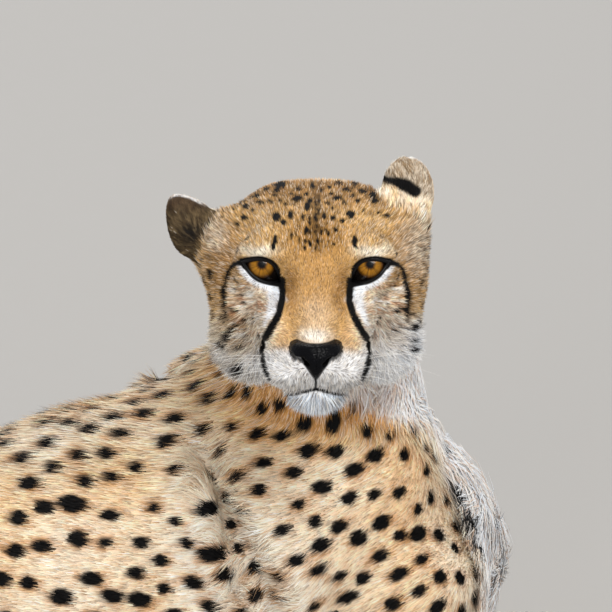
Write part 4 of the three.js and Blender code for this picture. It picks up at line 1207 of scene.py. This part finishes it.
def eyeball(side):
    across = np.array([0.0, 1.0, 0.0])
    upward = np.cross(GAZE, across)
    angles = np.radians(np.r_[np.linspace(2, 42, 26), np.linspace(50, 172, 16)])
    turns = np.linspace(0, 2 * math.pi, EYE_TURNS, endpoint=False)
    verts, places = [GAZE * (EYE_RADIUS + 0.9)], [[0.0, 0.0, 0.0]]
    for angle in angles:
        radius = EYE_RADIUS - 0.1 + 1.0 * float(smooth(38, 22, np.array([math.degrees(angle)]))[0])
        for turn in turns:
            flat = np.array([math.cos(turn), math.sin(turn)]) * math.sin(angle)
            verts.append(radius * (GAZE * math.cos(angle) + across * flat[0] + upward * flat[1]))
            places.append([*(flat * EYE_RADIUS / IRIS), 0.0] if angle < math.pi / 2 else [3.0, 0, 0])
    verts.append(-GAZE * EYE_RADIUS)
    places.append([3.0, 0, 0])
    faces = []
    for k in range(EYE_TURNS):
        j = (k + 1) % EYE_TURNS
        faces.append((0, 1 + k, 1 + j))
        for ring in range(len(angles) - 1):
            a = 1 + ring * EYE_TURNS
            faces += [(a + k, a + EYE_TURNS + k, a + j), (a + j, a + EYE_TURNS + k, a + EYE_TURNS + j)]
        a = 1 + (len(angles) - 1) * EYE_TURNS
        faces.append((a + k, len(verts) - 1, a + j))
    obj = mesh_object("eyeball_" + ("left" if side > 0 else "right"),
                      from_head(np.array(verts) + [0, side * EYE_APART, 0]), faces)
    put(obj.data, "iris place", "FLOAT_VECTOR", places)
    return obj

# %% A wet iris
eye_finish = bpy.data.materials.new("Wet eye")
eye_finish.use_nodes = True
tree = eye_finish.node_tree
shader = tree.nodes["Principled BSDF"]
place = add(tree, "ShaderNodeAttribute", attribute_name="iris place").outputs["Vector"]
reach = add(tree, "ShaderNodeVectorMath", {0: place}, operation="LENGTH").outputs["Value"]
heading = add(tree, "ShaderNodeVectorMath", {0: place}, operation="NORMALIZE").outputs[0]
fibres = add(tree, "ShaderNodeTexNoise", {"Vector": heading, "Scale": 6.0, "Detail": 5.0, "Roughness": 0.75})
waved = add(tree, "ShaderNodeMath", {0: fibres.outputs["Fac"], 1: 0.5}, operation="SUBTRACT").outputs[0]
waved = add(tree, "ShaderNodeMath", {0: waved, 1: 0.16, 2: reach}, operation="MULTIPLY_ADD").outputs[0]
iris = add(tree, "ShaderNodeValToRGB", {"Fac": waved})
IRIS_RINGS = [(0.0, (2, 2, 2)), (0.20, (3, 2, 2)), (0.27, (60, 36, 6)), (0.44, (138, 92, 18)),
              (0.68, (118, 78, 16)), (0.82, (74, 46, 12)), (0.93, (30, 18, 10)), (1.0, (16, 12, 10))]
ramp = iris.color_ramp
while len(ramp.elements) < len(IRIS_RINGS):
    ramp.elements.new(0.5)
for element, (at, colour) in zip(ramp.elements, IRIS_RINGS):
    element.position, element.color = at, (*paint(*colour), 1)
streaks = add(tree, "ShaderNodeMapRange", {"Value": fibres.outputs["Fac"], "From Min": 0.3, "From Max": 0.7,
                                           "To Min": 0.35, "To Max": 1.8}).outputs[0]
coloured = add(tree, "ShaderNodeVectorMath", {0: iris.outputs["Color"], "Scale": streaks}, operation="SCALE")
tree.links.new(coloured.outputs[0], shader.inputs["Base Color"])
for label, value in (("Roughness", 0.25), ("Specular IOR Level", 0.1), ("Coat Weight", 0.4), ("Coat IOR", 1.35),
                     ("Coat Roughness", 0.02)):
    shader.inputs[label].default_value = value
raised = add(tree, "ShaderNodeBump", {"Height": fibres.outputs["Fac"], "Strength": 0.15, "Distance": 0.0003})
tree.links.new(raised.outputs["Normal"], shader.inputs["Normal"])

eyeballs = {side: eyeball(side) for side in (-1, 1)}
for obj in eyeballs.values():
    obj.data.materials.append(eye_finish)
print("eyeballs:", len(eyeballs[1].data.polygons), "faces each")

# %% [markdown]
# The lids end in a bare black rim. It is a tube that follows the edge of the opening over the eyeball, and
# a tube along a path is a task for Geometry Nodes: the path carries its own thickness.

# %% Trees for what follows a path
def geometry_tree(name, taken, made, **sizes):
    """An empty tree with one geometry in, one out, and named sizes between them."""
    tree = bpy.data.node_groups.new(name, "GeometryNodeTree")
    tree.interface.new_socket(taken, in_out="INPUT", socket_type="NodeSocketGeometry")
    for label, value in sizes.items():
        kind = "NodeSocketInt" if isinstance(value, int) else "NodeSocketFloat"
        tree.interface.new_socket(label, in_out="INPUT", socket_type=kind).default_value = value
    tree.interface.new_socket(made, in_out="OUTPUT", socket_type="NodeSocketGeometry")
    return tree, tree.nodes.new("NodeGroupInput").outputs, tree.nodes.new("NodeGroupOutput").inputs


def ended(tree, geometry, material, out):
    """The last two nodes: real meshes in place of instances, and their material."""
    solid = add(tree, "GeometryNodeRealizeInstances", {"Geometry": geometry})
    painted = add(tree, "GeometryNodeSetMaterial", {"Geometry": solid.outputs["Geometry"], "Material": material})
    tree.links.new(painted.outputs["Geometry"], out[0])
    return tree


def tube_tree(name, material):
    """Geometry Nodes: a round tube along a curve, with the curve's own radius."""
    tree, given, out = geometry_tree(name, "Path", "Tube", Thickness=1.0, Sides=10)
    ring = add(tree, "GeometryNodeCurvePrimitiveCircle", {"Resolution": given["Sides"], "Radius": given["Thickness"]})
    tube = add(tree, "GeometryNodeCurveToMesh", {"Curve": given["Path"], "Profile Curve": ring.outputs["Curve"],
                                                 "Scale": add(tree, "GeometryNodeInputRadius").outputs["Radius"],
                                                 "Fill Caps": True})
    smoothed = add(tree, "GeometryNodeSetShadeSmooth", {"Geometry": tube.outputs["Mesh"]})
    return ended(tree, smoothed.outputs["Geometry"], material, out)


def made_by_nodes(obj, tree, **inputs):
    """A plain mesh object from what the tree makes of obj, which is used up."""
    nodes = obj.modifiers.new("nodes", "NODES")
    nodes.node_group = tree
    for item in tree.interface.items_tree:
        if item.name in inputs:
            nodes[item.identifier] = inputs[item.name]
    mesh = bpy.data.meshes.new_from_object(obj.evaluated_get(bpy.context.evaluated_depsgraph_get()))
    name = obj.name
    bpy.data.objects.remove(obj)
    mesh.name = name
    return linked(name, mesh)


def path_object(name, paths):
    """One curve object; each path is a list of (point in body millimetres, radius in millimetres)."""
    curve = bpy.data.curves.new(name, "CURVE")
    curve.dimensions = "3D"
    for path in paths:
        line = curve.splines.new("POLY")
        line.points.add(len(path) - 1)
        for point, (at, radius) in zip(line.points, path):
            point.co, point.radius = (*to_world(at), 1), radius * MM
    return linked(name, curve)

# %% Rims of the lids
rim_finish = finish("Bare black rim", paint(9, 8, 9), 1500, 0.6, 0.25, 0.4, 0.3, 0.0002, specular_ior_level=0.22)[0]
nose_finish, tree, _, effect, raised = finish(
    "Leather of the nose", paint(4, 4, 6), 350, 0.5, 0.22, 0.34, 0.6, 0.0004, specular_ior_level=0.11)
place = add(tree, "ShaderNodeTexCoord").outputs["Object"]
pebbles = add(tree, "ShaderNodeTexVoronoi", {"Scale": 950.0, "Vector": place})
tree.links.new(pebbles.outputs["Distance"], raised.inputs["Height"])
claw_finish = finish("Claw horn", paint(64, 52, 44), 700, 0.5, 0.25, 0.45, 0.2, 0.0002)[0]
RIM_REACH = EYE_RADIUS + 1.15
rim_paths = []
for side in (-1, 1):
    for edge, thick in (("upper", 1.55), ("lower", 1.15)):
        path = []
        for x in np.linspace(-1.08, 1.06, 28) * LIDS["half"]:
            bow = max(1 - (x / LIDS["half"]) ** 2, -0.1)
            y = LIDS[edge] * bow * (1 if edge == "upper" else -1)
            c, n = math.cos(LIDS["tilt"]), math.sin(LIDS["tilt"])
            s, v = LIDS["middle"][0] + x * c - y * n, LIDS["middle"][1] + x * n + y * c
            f = math.sqrt(max(RIM_REACH ** 2 - (s - EYE_APART) ** 2 - v ** 2, 30))
            path.append((from_head([f, side * s, v]), thick * (0.55 + 0.45 * max(bow, 0) ** 0.5)))
        rim_paths.append(path)
rims = made_by_nodes(path_object("lid_rims", rim_paths), tube_tree("Rim tube", rim_finish), Thickness=1.0, Sides=10)
print("rims:", len(rims.data.polygons), "faces")

# %% [markdown]
# ## Nose, whiskers
# The leather of the nose is one more surface net, finer than the skin: a patch that stands a little proud
# of the muzzle, cut to its outline, with the two nostrils carved into it.

# %% Leather of the nose
def leather(H):
    d, _, _ = union(HEAD_FORMS, H)
    patch = -melt(-(d - 0.7), -nose_outline(H[:, 1], H[:, 2]), 3.0)
    patch = carve(patch, np.maximum(stroke(NOSTRIL, np.abs(H[:, 1]), H[:, 2]), -(d + 5)), 1.2)
    patch = carve(patch, np.maximum(np.abs(H[:, 1]) - 0.1, -(d + 0.6)), 1.2)
    return np.maximum(np.maximum(patch, -(d + 4)), 56 - H[:, 0])


nose_verts, nose_faces = surface_net(leather, (52, -20, -54), (84, 20, -26), 0.75)
nose = mesh_object("nose_leather", from_head(nose_verts), nose_faces)
nose.data.materials.append(nose_finish)
print("nose:", len(nose.data.polygons), "faces")

# %% [markdown]
# Whiskers are stiff tapered hairs in four rows. Geometry Nodes bend one, set it on every root along the
# direction stored there, and turn the lot into one mesh.

# %% A bristle on every root
whisker_finish = finish("Whisker", paint(238, 236, 230), 300, 0.1, 0.3, 0.45, 0.05, 0.0001)[0]


def bristle_tree(name, material):
    tree, given, out = geometry_tree(name, "Roots", "Bristles", Length=0.06, Thickness=0.0003, Droop=0.012)
    end = add(tree, "ShaderNodeCombineXYZ", {"X": given["Length"]})
    line = add(tree, "GeometryNodeCurvePrimitiveLine", {"End": end.outputs[0]})
    fine = add(tree, "GeometryNodeResampleCurve", {"Curve": line.outputs["Curve"], "Count": 9})
    along = add(tree, "GeometryNodeSplineParameter").outputs["Factor"]
    square = add(tree, "ShaderNodeMath", {0: along, 1: along}, operation="MULTIPLY").outputs[0]
    drop = add(tree, "ShaderNodeMath", {0: square, 1: given["Droop"]}, operation="MULTIPLY").outputs[0]
    drop = add(tree, "ShaderNodeMath", {0: drop, 1: -1.0}, operation="MULTIPLY").outputs[0]
    bend = add(tree, "ShaderNodeCombineXYZ", {"Z": drop}).outputs[0]
    bent = add(tree, "GeometryNodeSetPosition", {"Geometry": fine.outputs["Curve"], "Offset": bend})
    thin = add(tree, "ShaderNodeMapRange", {"Value": along, "To Min": 1.0, "To Max": 0.12}).outputs[0]
    tapered = add(tree, "GeometryNodeSetCurveRadius", {"Curve": bent.outputs["Geometry"], "Radius": thin})
    ring = add(tree, "GeometryNodeCurvePrimitiveCircle", {"Resolution": 5, "Radius": given["Thickness"]})
    hair = add(tree, "GeometryNodeCurveToMesh", {"Curve": tapered.outputs["Curve"],
                                                 "Profile Curve": ring.outputs["Curve"],
                                                 "Scale": add(tree, "GeometryNodeInputRadius").outputs["Radius"],
                                                 "Fill Caps": True})
    way = add(tree, "GeometryNodeInputNamedAttribute", {"Name": "way"}, data_type="FLOAT_VECTOR")
    turned = add(tree, "FunctionNodeAlignRotationToVector", {"Vector": way.outputs["Attribute"]}, axis="X")
    size = add(tree, "GeometryNodeInputNamedAttribute", {"Name": "size"}, data_type="FLOAT")
    placed = add(tree, "GeometryNodeInstanceOnPoints", {
        "Points": given["Roots"], "Instance": hair.outputs["Mesh"], "Rotation": turned.outputs["Rotation"],
        "Scale": size.outputs["Attribute"]})
    return ended(tree, placed.outputs["Instances"], material, out)

# %% Whiskers
roots, ways, sizes = [], [], []
for side in (-1, 1):
    for row in range(3):
        for place in range(4):
            f, v = 66 - 6.5 * place + 1.5 * (row % 2), -46 - 4.2 * row + 0.8 * place
            s = 22 + 2.2 * place
            roots.append([f, side * s, v])
            way = np.array([-0.25 - 0.1 * place, side * 1.0, 0.12 - 0.16 * row]) + rng.normal(0, 0.06, 3)
            ways.append(way)
            sizes.append((0.5 + 0.16 * place) * rng.uniform(0.8, 1.1))
    for k in range(2):
        roots.append([8 + 3 * k, side * (27 + 4 * k), 17])
        ways.append([-0.2, side * 0.5, 0.9])
        sizes.append(0.45)
whiskers = mesh_object("whiskers", from_head(roots), np.zeros((0, 3)))
put(whiskers.data, "way", "FLOAT_VECTOR", np.array(ways) @ HEAD_AXES)
put(whiskers.data, "size", "FLOAT", sizes)
whiskers = made_by_nodes(whiskers, bristle_tree("Whisker on its root", whisker_finish),
                         Length=0.058, Thickness=0.00017, Droop=0.014)
print("whiskers:", len(roots), "hairs,", len(whiskers.data.polygons), "faces")

# %% [markdown]
# ## The coat
# Each tuft is a closed sliver of four triangles with a ridge along its top, or a bent lock of ten where the
# hair is long. Roots are scattered over the skin's triangles, closer on the face than on the trunk; every
# tuft takes its direction, length, colour and place on the map from the skin below its root.

# %% How close, how long
def snout(H):
    """One on the bridge of the nose and between the eyes, where the hair is shortest."""
    s, u = face_plane(H)
    return smooth(25, 17, np.abs(s)) * smooth(16, 4, u) * smooth(-62, -50, u) * smooth(-20, -5, H[:, 0])


def coat_plan(P, N):
    """Spacing, length, width and lift of the tufts, and whether they are long locks."""
    _, depth = hair_way(P)
    H = to_head(P)
    s, u = face_plane(H)
    on_head = smooth(-105, -85, H[:, 0] + 0.3 * H[:, 2]) * (P[:, 2] > HEAD_ABOVE)
    front = on_head * smooth(-45, -25, H[:, 0])
    seen = smooth(40, -20, P[:, 1]) * smooth(90, 130, P[:, 2]) * smooth(-190, -130, P[:, 0]) * (P[:, 0] < 330)
    white = chest_white(P)
    feet = (P[:, 2] < 62) * ((P[:, 0] > 330) | ((P[:, 0] < -70) & (P[:, 0] > -360)))
    ear = np.minimum(ear_field(H, 1), ear_field(H, -1)) < 2.5
    spacing = 2.6 - 1.36 * seen
    spacing = spacing + (2.1 - spacing) * feet
    spacing = spacing + (1.4 - spacing) * on_head
    spacing = spacing + (0.86 - spacing) * np.maximum(front, ear)
    crest = smooth(268, 286, P[:, 2]) * smooth(175, 60, P[:, 0]) * (1 - on_head)
    shoulder_top = smooth(296, 312, P[:, 2]) * smooth(200, 150, P[:, 0]) * smooth(-45, -15, P[:, 1])
    crest = np.maximum(crest, shoulder_top * (1 - on_head))
    ruff = on_head * smooth(-26, -48, u) * smooth(28, 44, np.abs(s)) * smooth(20, 0, H[:, 0])
    beard = on_head * smooth(-70, -80, u) * smooth(10, 30, H[:, 0])
    fold = smooth(24, 4, FOLD.distance(one_side(P)))
    length = 2.4 + 1.2 * depth + 15 * white * smooth(395, 360, P[:, 2]) + 5 * crest + 6 * fold
    ear_root = on_head * np.exp(-np.minimum(np.abs(ear_field(H, 1) - 6), np.abs(ear_field(H, -1) - 6)) / 4)
    length = length + (1.9 + 0.9 * depth + 5 * ruff + 4.5 * beard + 6 * ear_root - length) * on_head
    length = length * (1 - 0.35 * snout(H))
    length = np.where(feet > 0, np.minimum(length, 6), length)
    length = np.where(ear, 3.0, length)
    width = 0.5 * spacing + 0.01 * length
    width = np.where((front > 0.5) | ear, 0.54, width)
    lift = np.clip(0.8 * depth / length, 0.12, 0.5) + 0.12 * white + 0.18 * crest + 0.08 * fold
    lift = lift + 0.2 * ear_root + 0.08 * ruff + 0.3 * beard
    lift = np.where(ear, 0.2, lift)
    return spacing, length, width, lift, (length > 17)


centroids = skin_points[skin_tris].mean(1)
flat_normals = tri_normals / (2 * tri_areas[:, None] + 1e-9)
spacing, *_ = coat_plan(centroids, flat_normals)
hidden = (centroids[:, 2] < 4) & (flat_normals[:, 2] < -0.7)
H = to_head(centroids)
in_face = (H[:, 0] > 0) & (centroids[:, 2] > HEAD_ABOVE)
bare = in_face & (lid_gap(np.abs(H[:, 1]), H[:, 2]) < 1.6) & (np.abs(np.abs(H[:, 1]) - 33) < 20)
bare |= in_face & (H[:, 0] > 55) & (nose_outline(H[:, 1], H[:, 2]) < 0.6)
bare |= in_face & (H[:, 0] > 30) & (laid_stroke(LAID_LIPS, H, np.abs(H[:, 1]), face_plane(H)[1]) < 0.5)
expected = np.where(hidden | bare, 0, tri_areas / spacing ** 2)
counts = np.floor(expected + rng.random(len(expected))).astype(int)
owner = np.repeat(np.arange(len(skin_tris)), counts)
mix = rng.dirichlet([1, 1, 1], len(owner)).astype(np.float32)
root = (skin_points[skin_tris[owner]] * mix[:, :, None]).sum(1)
normal = (skin_normals[skin_tris[owner]] * mix[:, :, None]).sum(1)
normal /= np.linalg.norm(normal, axis=1)[:, None]
root_uv = (skin_uv[owner] * mix[:, :, None]).sum(1)
print(len(owner), "tufts")

# %% Direction, length and colour of every tuft
_, length, width, lift, is_lock = coat_plan(root, normal)
way, _ = hair_way(root)
way = tangent(way, normal)
sideways = np.cross(normal, way)
H = to_head(root)
white = chest_white(root)
fold = smooth(26, 6, FOLD.distance(one_side(root)))
loose = 0.10 + 0.25 * white + 0.25 * fold
wander = 0.9 * loose * noise(root, 11, 1) + 0.9 * loose * noise(root, 4, 2) + loose * rng.normal(0, 0.7, len(root))
wander = wander + 0.7 * white * noise(root, 26, 5) + 0.9 * fold * noise(root, 15, 6)
jowl = smooth(-24, -44, face_plane(H)[1]) * smooth(24, 40, np.abs(H[:, 1])) * smooth(-105, -85, H[:, 0])
jowl = jowl * (root[:, 2] > HEAD_ABOVE)
wander = wander + jowl * (0.6 * noise(root, 7, 7) + 0.4 * rng.normal(0, 1, len(root)))
way = way * np.cos(wander)[:, None] + sideways * np.sin(wander)[:, None]
sideways = np.cross(normal, way)
length = length * rng.uniform(0.7, 1.15, len(root)) * (1 + 0.35 * white * noise(root, 13, 8))
lift = lift * rng.uniform(0.55, 1.25, len(root)) * (1 + 0.45 * white * noise(root, 17, 9))
colour, dark = coat_colour((root + 0.4 * length[:, None] * way).astype(np.float32), normal)
on_face = smooth(-70, -50, H[:, 0]) * (root[:, 2] > HEAD_ABOVE)
shade = (0.22 + 0.2 * on_face) * rng.normal(0, 1, len(root)) + 0.1 * noise(root, 6, 3) + 0.3 * noise(root, 3, 16)
shade = shade + on_face * (0.5 * noise(root, 2, 14) + 0.15 * noise(root, 5, 15) - 0.06)
shade = shade * (1 - 0.3 * snout(H) * (root[:, 2] > HEAD_ABOVE))
shade = shade * (1 - 0.5 * smooth(0.6, 0.8, colour[:, 2]))  # pale hair differs less
# The last term darkens tufts in the fold behind the elbow a little: painted shade.
shade = np.exp(shade + 0.2 * white * noise(root, 8, 10) - 0.05 * fold)
shade = np.where(dark > 0.3, shade, 1)
colour = np.clip(colour * np.clip(shade, 0.25, 1.8)[:, None], 0, 1)
lot = rng.random(len(root))
bright = (dark > 0.5) * (colour.mean(1) > 0.12)
colour = blend(colour, CREAM, 0.5 * (lot < 0.24) * bright * (1 - 0.6 * snout(H) * on_face))
colour = blend(colour, mixed(TAWNY, UMBER * 0.5, on_face), 0.5 * (lot > 0.8) * bright)
# Every tuft is darker at its root and lighter at its tip, least so on pale hair: partly the hair's own colour, partly
# painted shade down among the roots.
root_dark = 0.58 + 0.32 * smooth(0.45, 0.75, colour.mean(1))

# %% Tufts as arrays
def slivers(rows):
    """Short tufts of two side corners, a ridge and a tip: corners, triangles with the upper ones first,
    tints, places on the map, and how many triangles face up."""
    P, N, t, b = root[rows], normal[rows], way[rows], sideways[rows]
    L, w, a = length[rows, None], width[rows, None], lift[rows, None]
    low = P - 0.35 * N
    tip = P + L * (t * np.cos(a) + N * np.sin(a))
    corners = np.stack([low - b * w / 2, low + b * w / 2, P + N * w * 0.4 + t * L * 0.12, tip], 1)
    tris = np.array([(2, 3, 1), (2, 0, 3), (0, 1, 3), (0, 2, 1)])
    dark = root_dark[rows]
    # Root corners darker, tip lighter: partly hair colour, partly painted shade among the roots.
    tints = colour[rows, None] * np.stack([dark, dark, (dark + 1) / 2, 1.16 + 0 * dark], 1)[:, :, None]
    patch = np.array([(-1, -1), (1, -1), (0, 0), (0, 1)]) * 0.0015
    return corners, tris, tints, patch, 2


def locks(rows):
    """Long tufts: three corners at the root, three on the way and a tip, bent towards the skin."""
    P, N, t, b = root[rows], normal[rows], way[rows], sideways[rows]
    L, w, a = length[rows, None], width[rows, None] * 1.3, lift[rows, None] * 1.25
    low = P - 0.5 * N
    mid = P + 0.55 * L * (t * np.cos(a) + N * np.sin(a))
    tip = P + L * (t * np.cos(a * 0.55) + N * np.sin(a * 0.55)) + b * L * 0.08 * np.sin(L)
    corners = np.stack([low - b * w / 2, low + b * w / 2, P + N * w * 0.35,
                        mid - b * w * 0.4, mid + b * w * 0.4, mid + N * w * 0.3, tip], 1)
    tris = np.array([(2, 5, 4), (2, 4, 1), (0, 3, 5), (0, 5, 2), (5, 6, 4), (3, 6, 5),
                     (0, 2, 1), (0, 1, 4), (0, 4, 3), (3, 4, 6)])
    # Darker at the root, lighter towards the tip: partly hair colour, partly painted shade among the roots.
    tints = colour[rows, None] * np.array([0.78, 0.78, 0.84, 0.95, 0.95, 1.03, 1.15])[:, None]
    patch = np.array([(-1, -1), (1, -1), (0, -0.6), (-1, 0.2), (1, 0.2), (0, 0.4), (0, 1)]) * 0.0015
    return corners, tris, tints, patch, 6

# %% [markdown]
# A tuft lit only by its own sides glitters, and one lit only as the skin below looks like paint. The custom
# normals of each tuft mix the two. Its patch on the map lies round the place of its root.

# %% One mesh from many tufts
OWN_LIGHT = 0.45  # how much a tuft catches light by its own sides; the rest follows the skin below


def coat_piece(name, rows):
    """One mesh from the tufts of these rows, with its map."""
    low_uv, high_uv = root_uv[rows].min(0), root_uv[rows].max(0)
    verts, faces, tints, places, lights, start = [], [], [], [], [], 0
    for shape, some in ((slivers, rows[~is_lock[rows]]), (locks, rows[is_lock[rows]])):
        if not len(some):
            continue
        corners, tris, tint, patch, upper = shape(some)
        corners[:, :, 2] = np.maximum(corners[:, :, 2], 0.4)
        a, b, c = (corners[:, tris[:, i]] for i in range(3))
        facing = np.cross(b - a, c - a)
        facing /= np.linalg.norm(facing, axis=2)[:, :, None] + 1e-12
        facing[:, :upper] = OWN_LIGHT * facing[:, :upper] + (1 - OWN_LIGHT) * normal[some, None]
        lights.append(np.repeat(facing.reshape(-1, 3), 3, axis=0))
        each = corners.shape[1]
        verts.append(corners.reshape(-1, 3))
        tints.append(tint.reshape(-1, 3))
        faces.append((start + np.arange(len(some))[:, None, None] * each + tris).reshape(-1, 3))
        fitted = 0.006 + 0.988 * (root_uv[some] - low_uv) / (high_uv - low_uv)
        places.append((fitted[:, None] + patch).reshape(-1, 2))
        start += len(some) * each
    faces = np.concatenate(faces)
    obj = mesh_object(name, np.concatenate(verts), faces)
    lights = np.concatenate(lights)
    obj.data.normals_split_custom_set(lights / (np.linalg.norm(lights, axis=1)[:, None] + 1e-12))
    put_colours(obj.data, "tint", np.clip(np.concatenate(tints), 0, 1))
    uv = obj.data.uv_layers.new(name="OFBake")
    uv.data.foreach_set("uv", np.concatenate(places)[faces.ravel()].astype(np.float32).ravel())
    obj.data.materials.append(coat_finish)
    return obj

# %% The coat in pieces
FULLEST = 196000  # triangles in one piece
triangles = np.where(is_lock, 10, 4)
x, y, z = root.T
zone = np.select([(H[:, 0] > -40) & (z > 330), z > 300, x > 120, x > -60, x > -330], [0, 1, 2, 3, 4], 5)
coat = []
for number, name in enumerate(("face", "nape", "shoulders", "ribs", "haunches", "tail")):
    rows = np.flatnonzero(zone == number)
    rows = rows[np.argsort(y[rows] if number in (2, 3, 4) else x[rows])]
    parts = max(1, math.ceil(triangles[rows].sum() / FULLEST))
    cut = np.searchsorted(np.cumsum(triangles[rows]), np.arange(1, parts) / parts * triangles[rows].sum())
    for k, some in enumerate(np.split(rows, cut)):
        coat.append(coat_piece(f"coat_{name}_{k + 1}", some))
print("coat:", len(coat), "pieces,", int(triangles.sum()), "triangles")

# %% [markdown]
# ## Finishing
# The frame's claws stay as they are and get their horn. Everything else of the frame gives way to the
# pieces that replace it.

# %% Pieces take their places
FLESH = ["head", "neck", "trunk"] + [f"tail_{k}" for k in range(1, 5)]
for side in ("left", "right"):
    FLESH += [f"{part}_{side}" for part in ("ear", "foreleg", "forepaw", "hindleg", "hindfoot")]
for obj in (skin, *coat, rims, nose, whiskers, *eyeballs.values()):
    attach(obj, "root")
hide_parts(*FLESH)
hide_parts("nose")
for side, obj in eyeballs.items():
    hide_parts("eye_left" if side > 0 else "eye_right")
for obj in bpy.context.scene.objects:
    if obj.name.startswith("claw_"):
        obj.data.materials.clear()
        obj.data.materials.append(claw_finish)

# %% [markdown]
# ## Studio
# A plain pale floor, a broad soft key from above, a weaker fill, and a pale sky. The camera stands far off
# with a long lens, so that the near shoulder doesn't swell.

# %% Floor
floor_mesh = bpy.data.meshes.new("floor")
floor_mesh.from_pydata([(-40, -40, 0), (40, -40, 0), (40, 40, 0), (-40, 40, 0)], [], [(0, 1, 2, 3)])
floor = linked("floor", floor_mesh)
floor_mesh.materials.append(finish("Plain floor", paint(180, 177, 172), 60, 0.03, 0.7, 0.8, 0.05, 0.0005)[0])
floor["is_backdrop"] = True

# %% Where the camera stands
AZIMUTH, ELEVATION, AWAY = math.radians(-15), math.radians(30), 6.0
out_flat = math.cos(ELEVATION)
back = Vector((math.sin(AZIMUTH) * out_flat, -math.cos(AZIMUTH) * out_flat, math.sin(ELEVATION)))
rightward = Vector((math.cos(AZIMUTH), math.sin(AZIMUTH), 0))
upward = back.cross(rightward)
VIEW_WIDTH = 0.374
aim = Vector(to_world(HEAD_AT)) - rightward * 0.006 - upward * 0.0238

# %% Lights
def area_light(name, place, size, power, colour):
    data = bpy.data.lights.new(name, "AREA")
    data.shape, data.size, data.energy, data.color = "DISK", size, power, colour
    obj = linked(name, data)
    obj.location = place
    obj.rotation_mode = "QUATERNION"
    obj.rotation_quaternion = (Vector(place) - Vector((0.1, -0.1, 0.2))).to_track_quat("Z", "Y")
    return obj


area_light("key", (0.7, -2.0, 3.2), 1.5, 78, (1.0, 0.98, 0.95))
area_light("fill", (-2.2, -3.2, 1.9), 2.2, 56, (0.95, 0.97, 1.0)).visible_glossy = False
area_light("rim", (0.6, 2.6, 2.2), 1.6, 30, (1.0, 1.0, 1.0))
world = bpy.data.worlds.new("sky")
bpy.context.scene.world = world
world.use_nodes = True
sky = world.node_tree.nodes["Background"].inputs
sky["Color"].default_value, sky["Strength"].default_value = (0.93, 0.95, 1.0, 1), 0.58
bpy.context.scene.view_settings.view_transform = "Standard"

# %% Camera
camera_data = bpy.data.cameras.new("camera")
camera_data.sensor_width, camera_data.lens = 36, 36 * AWAY / VIEW_WIDTH
camera_data.clip_end = 100
camera = linked("camera", camera_data)
camera.location = aim + back * AWAY
camera.rotation_mode = "QUATERNION"
camera.rotation_quaternion = back.to_track_quat("Z", "Y")
bpy.context.scene.camera = camera
print("lens:", round(camera_data.lens), "mm from", AWAY, "m away")

# %% Sizes, and the last line
low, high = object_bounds()
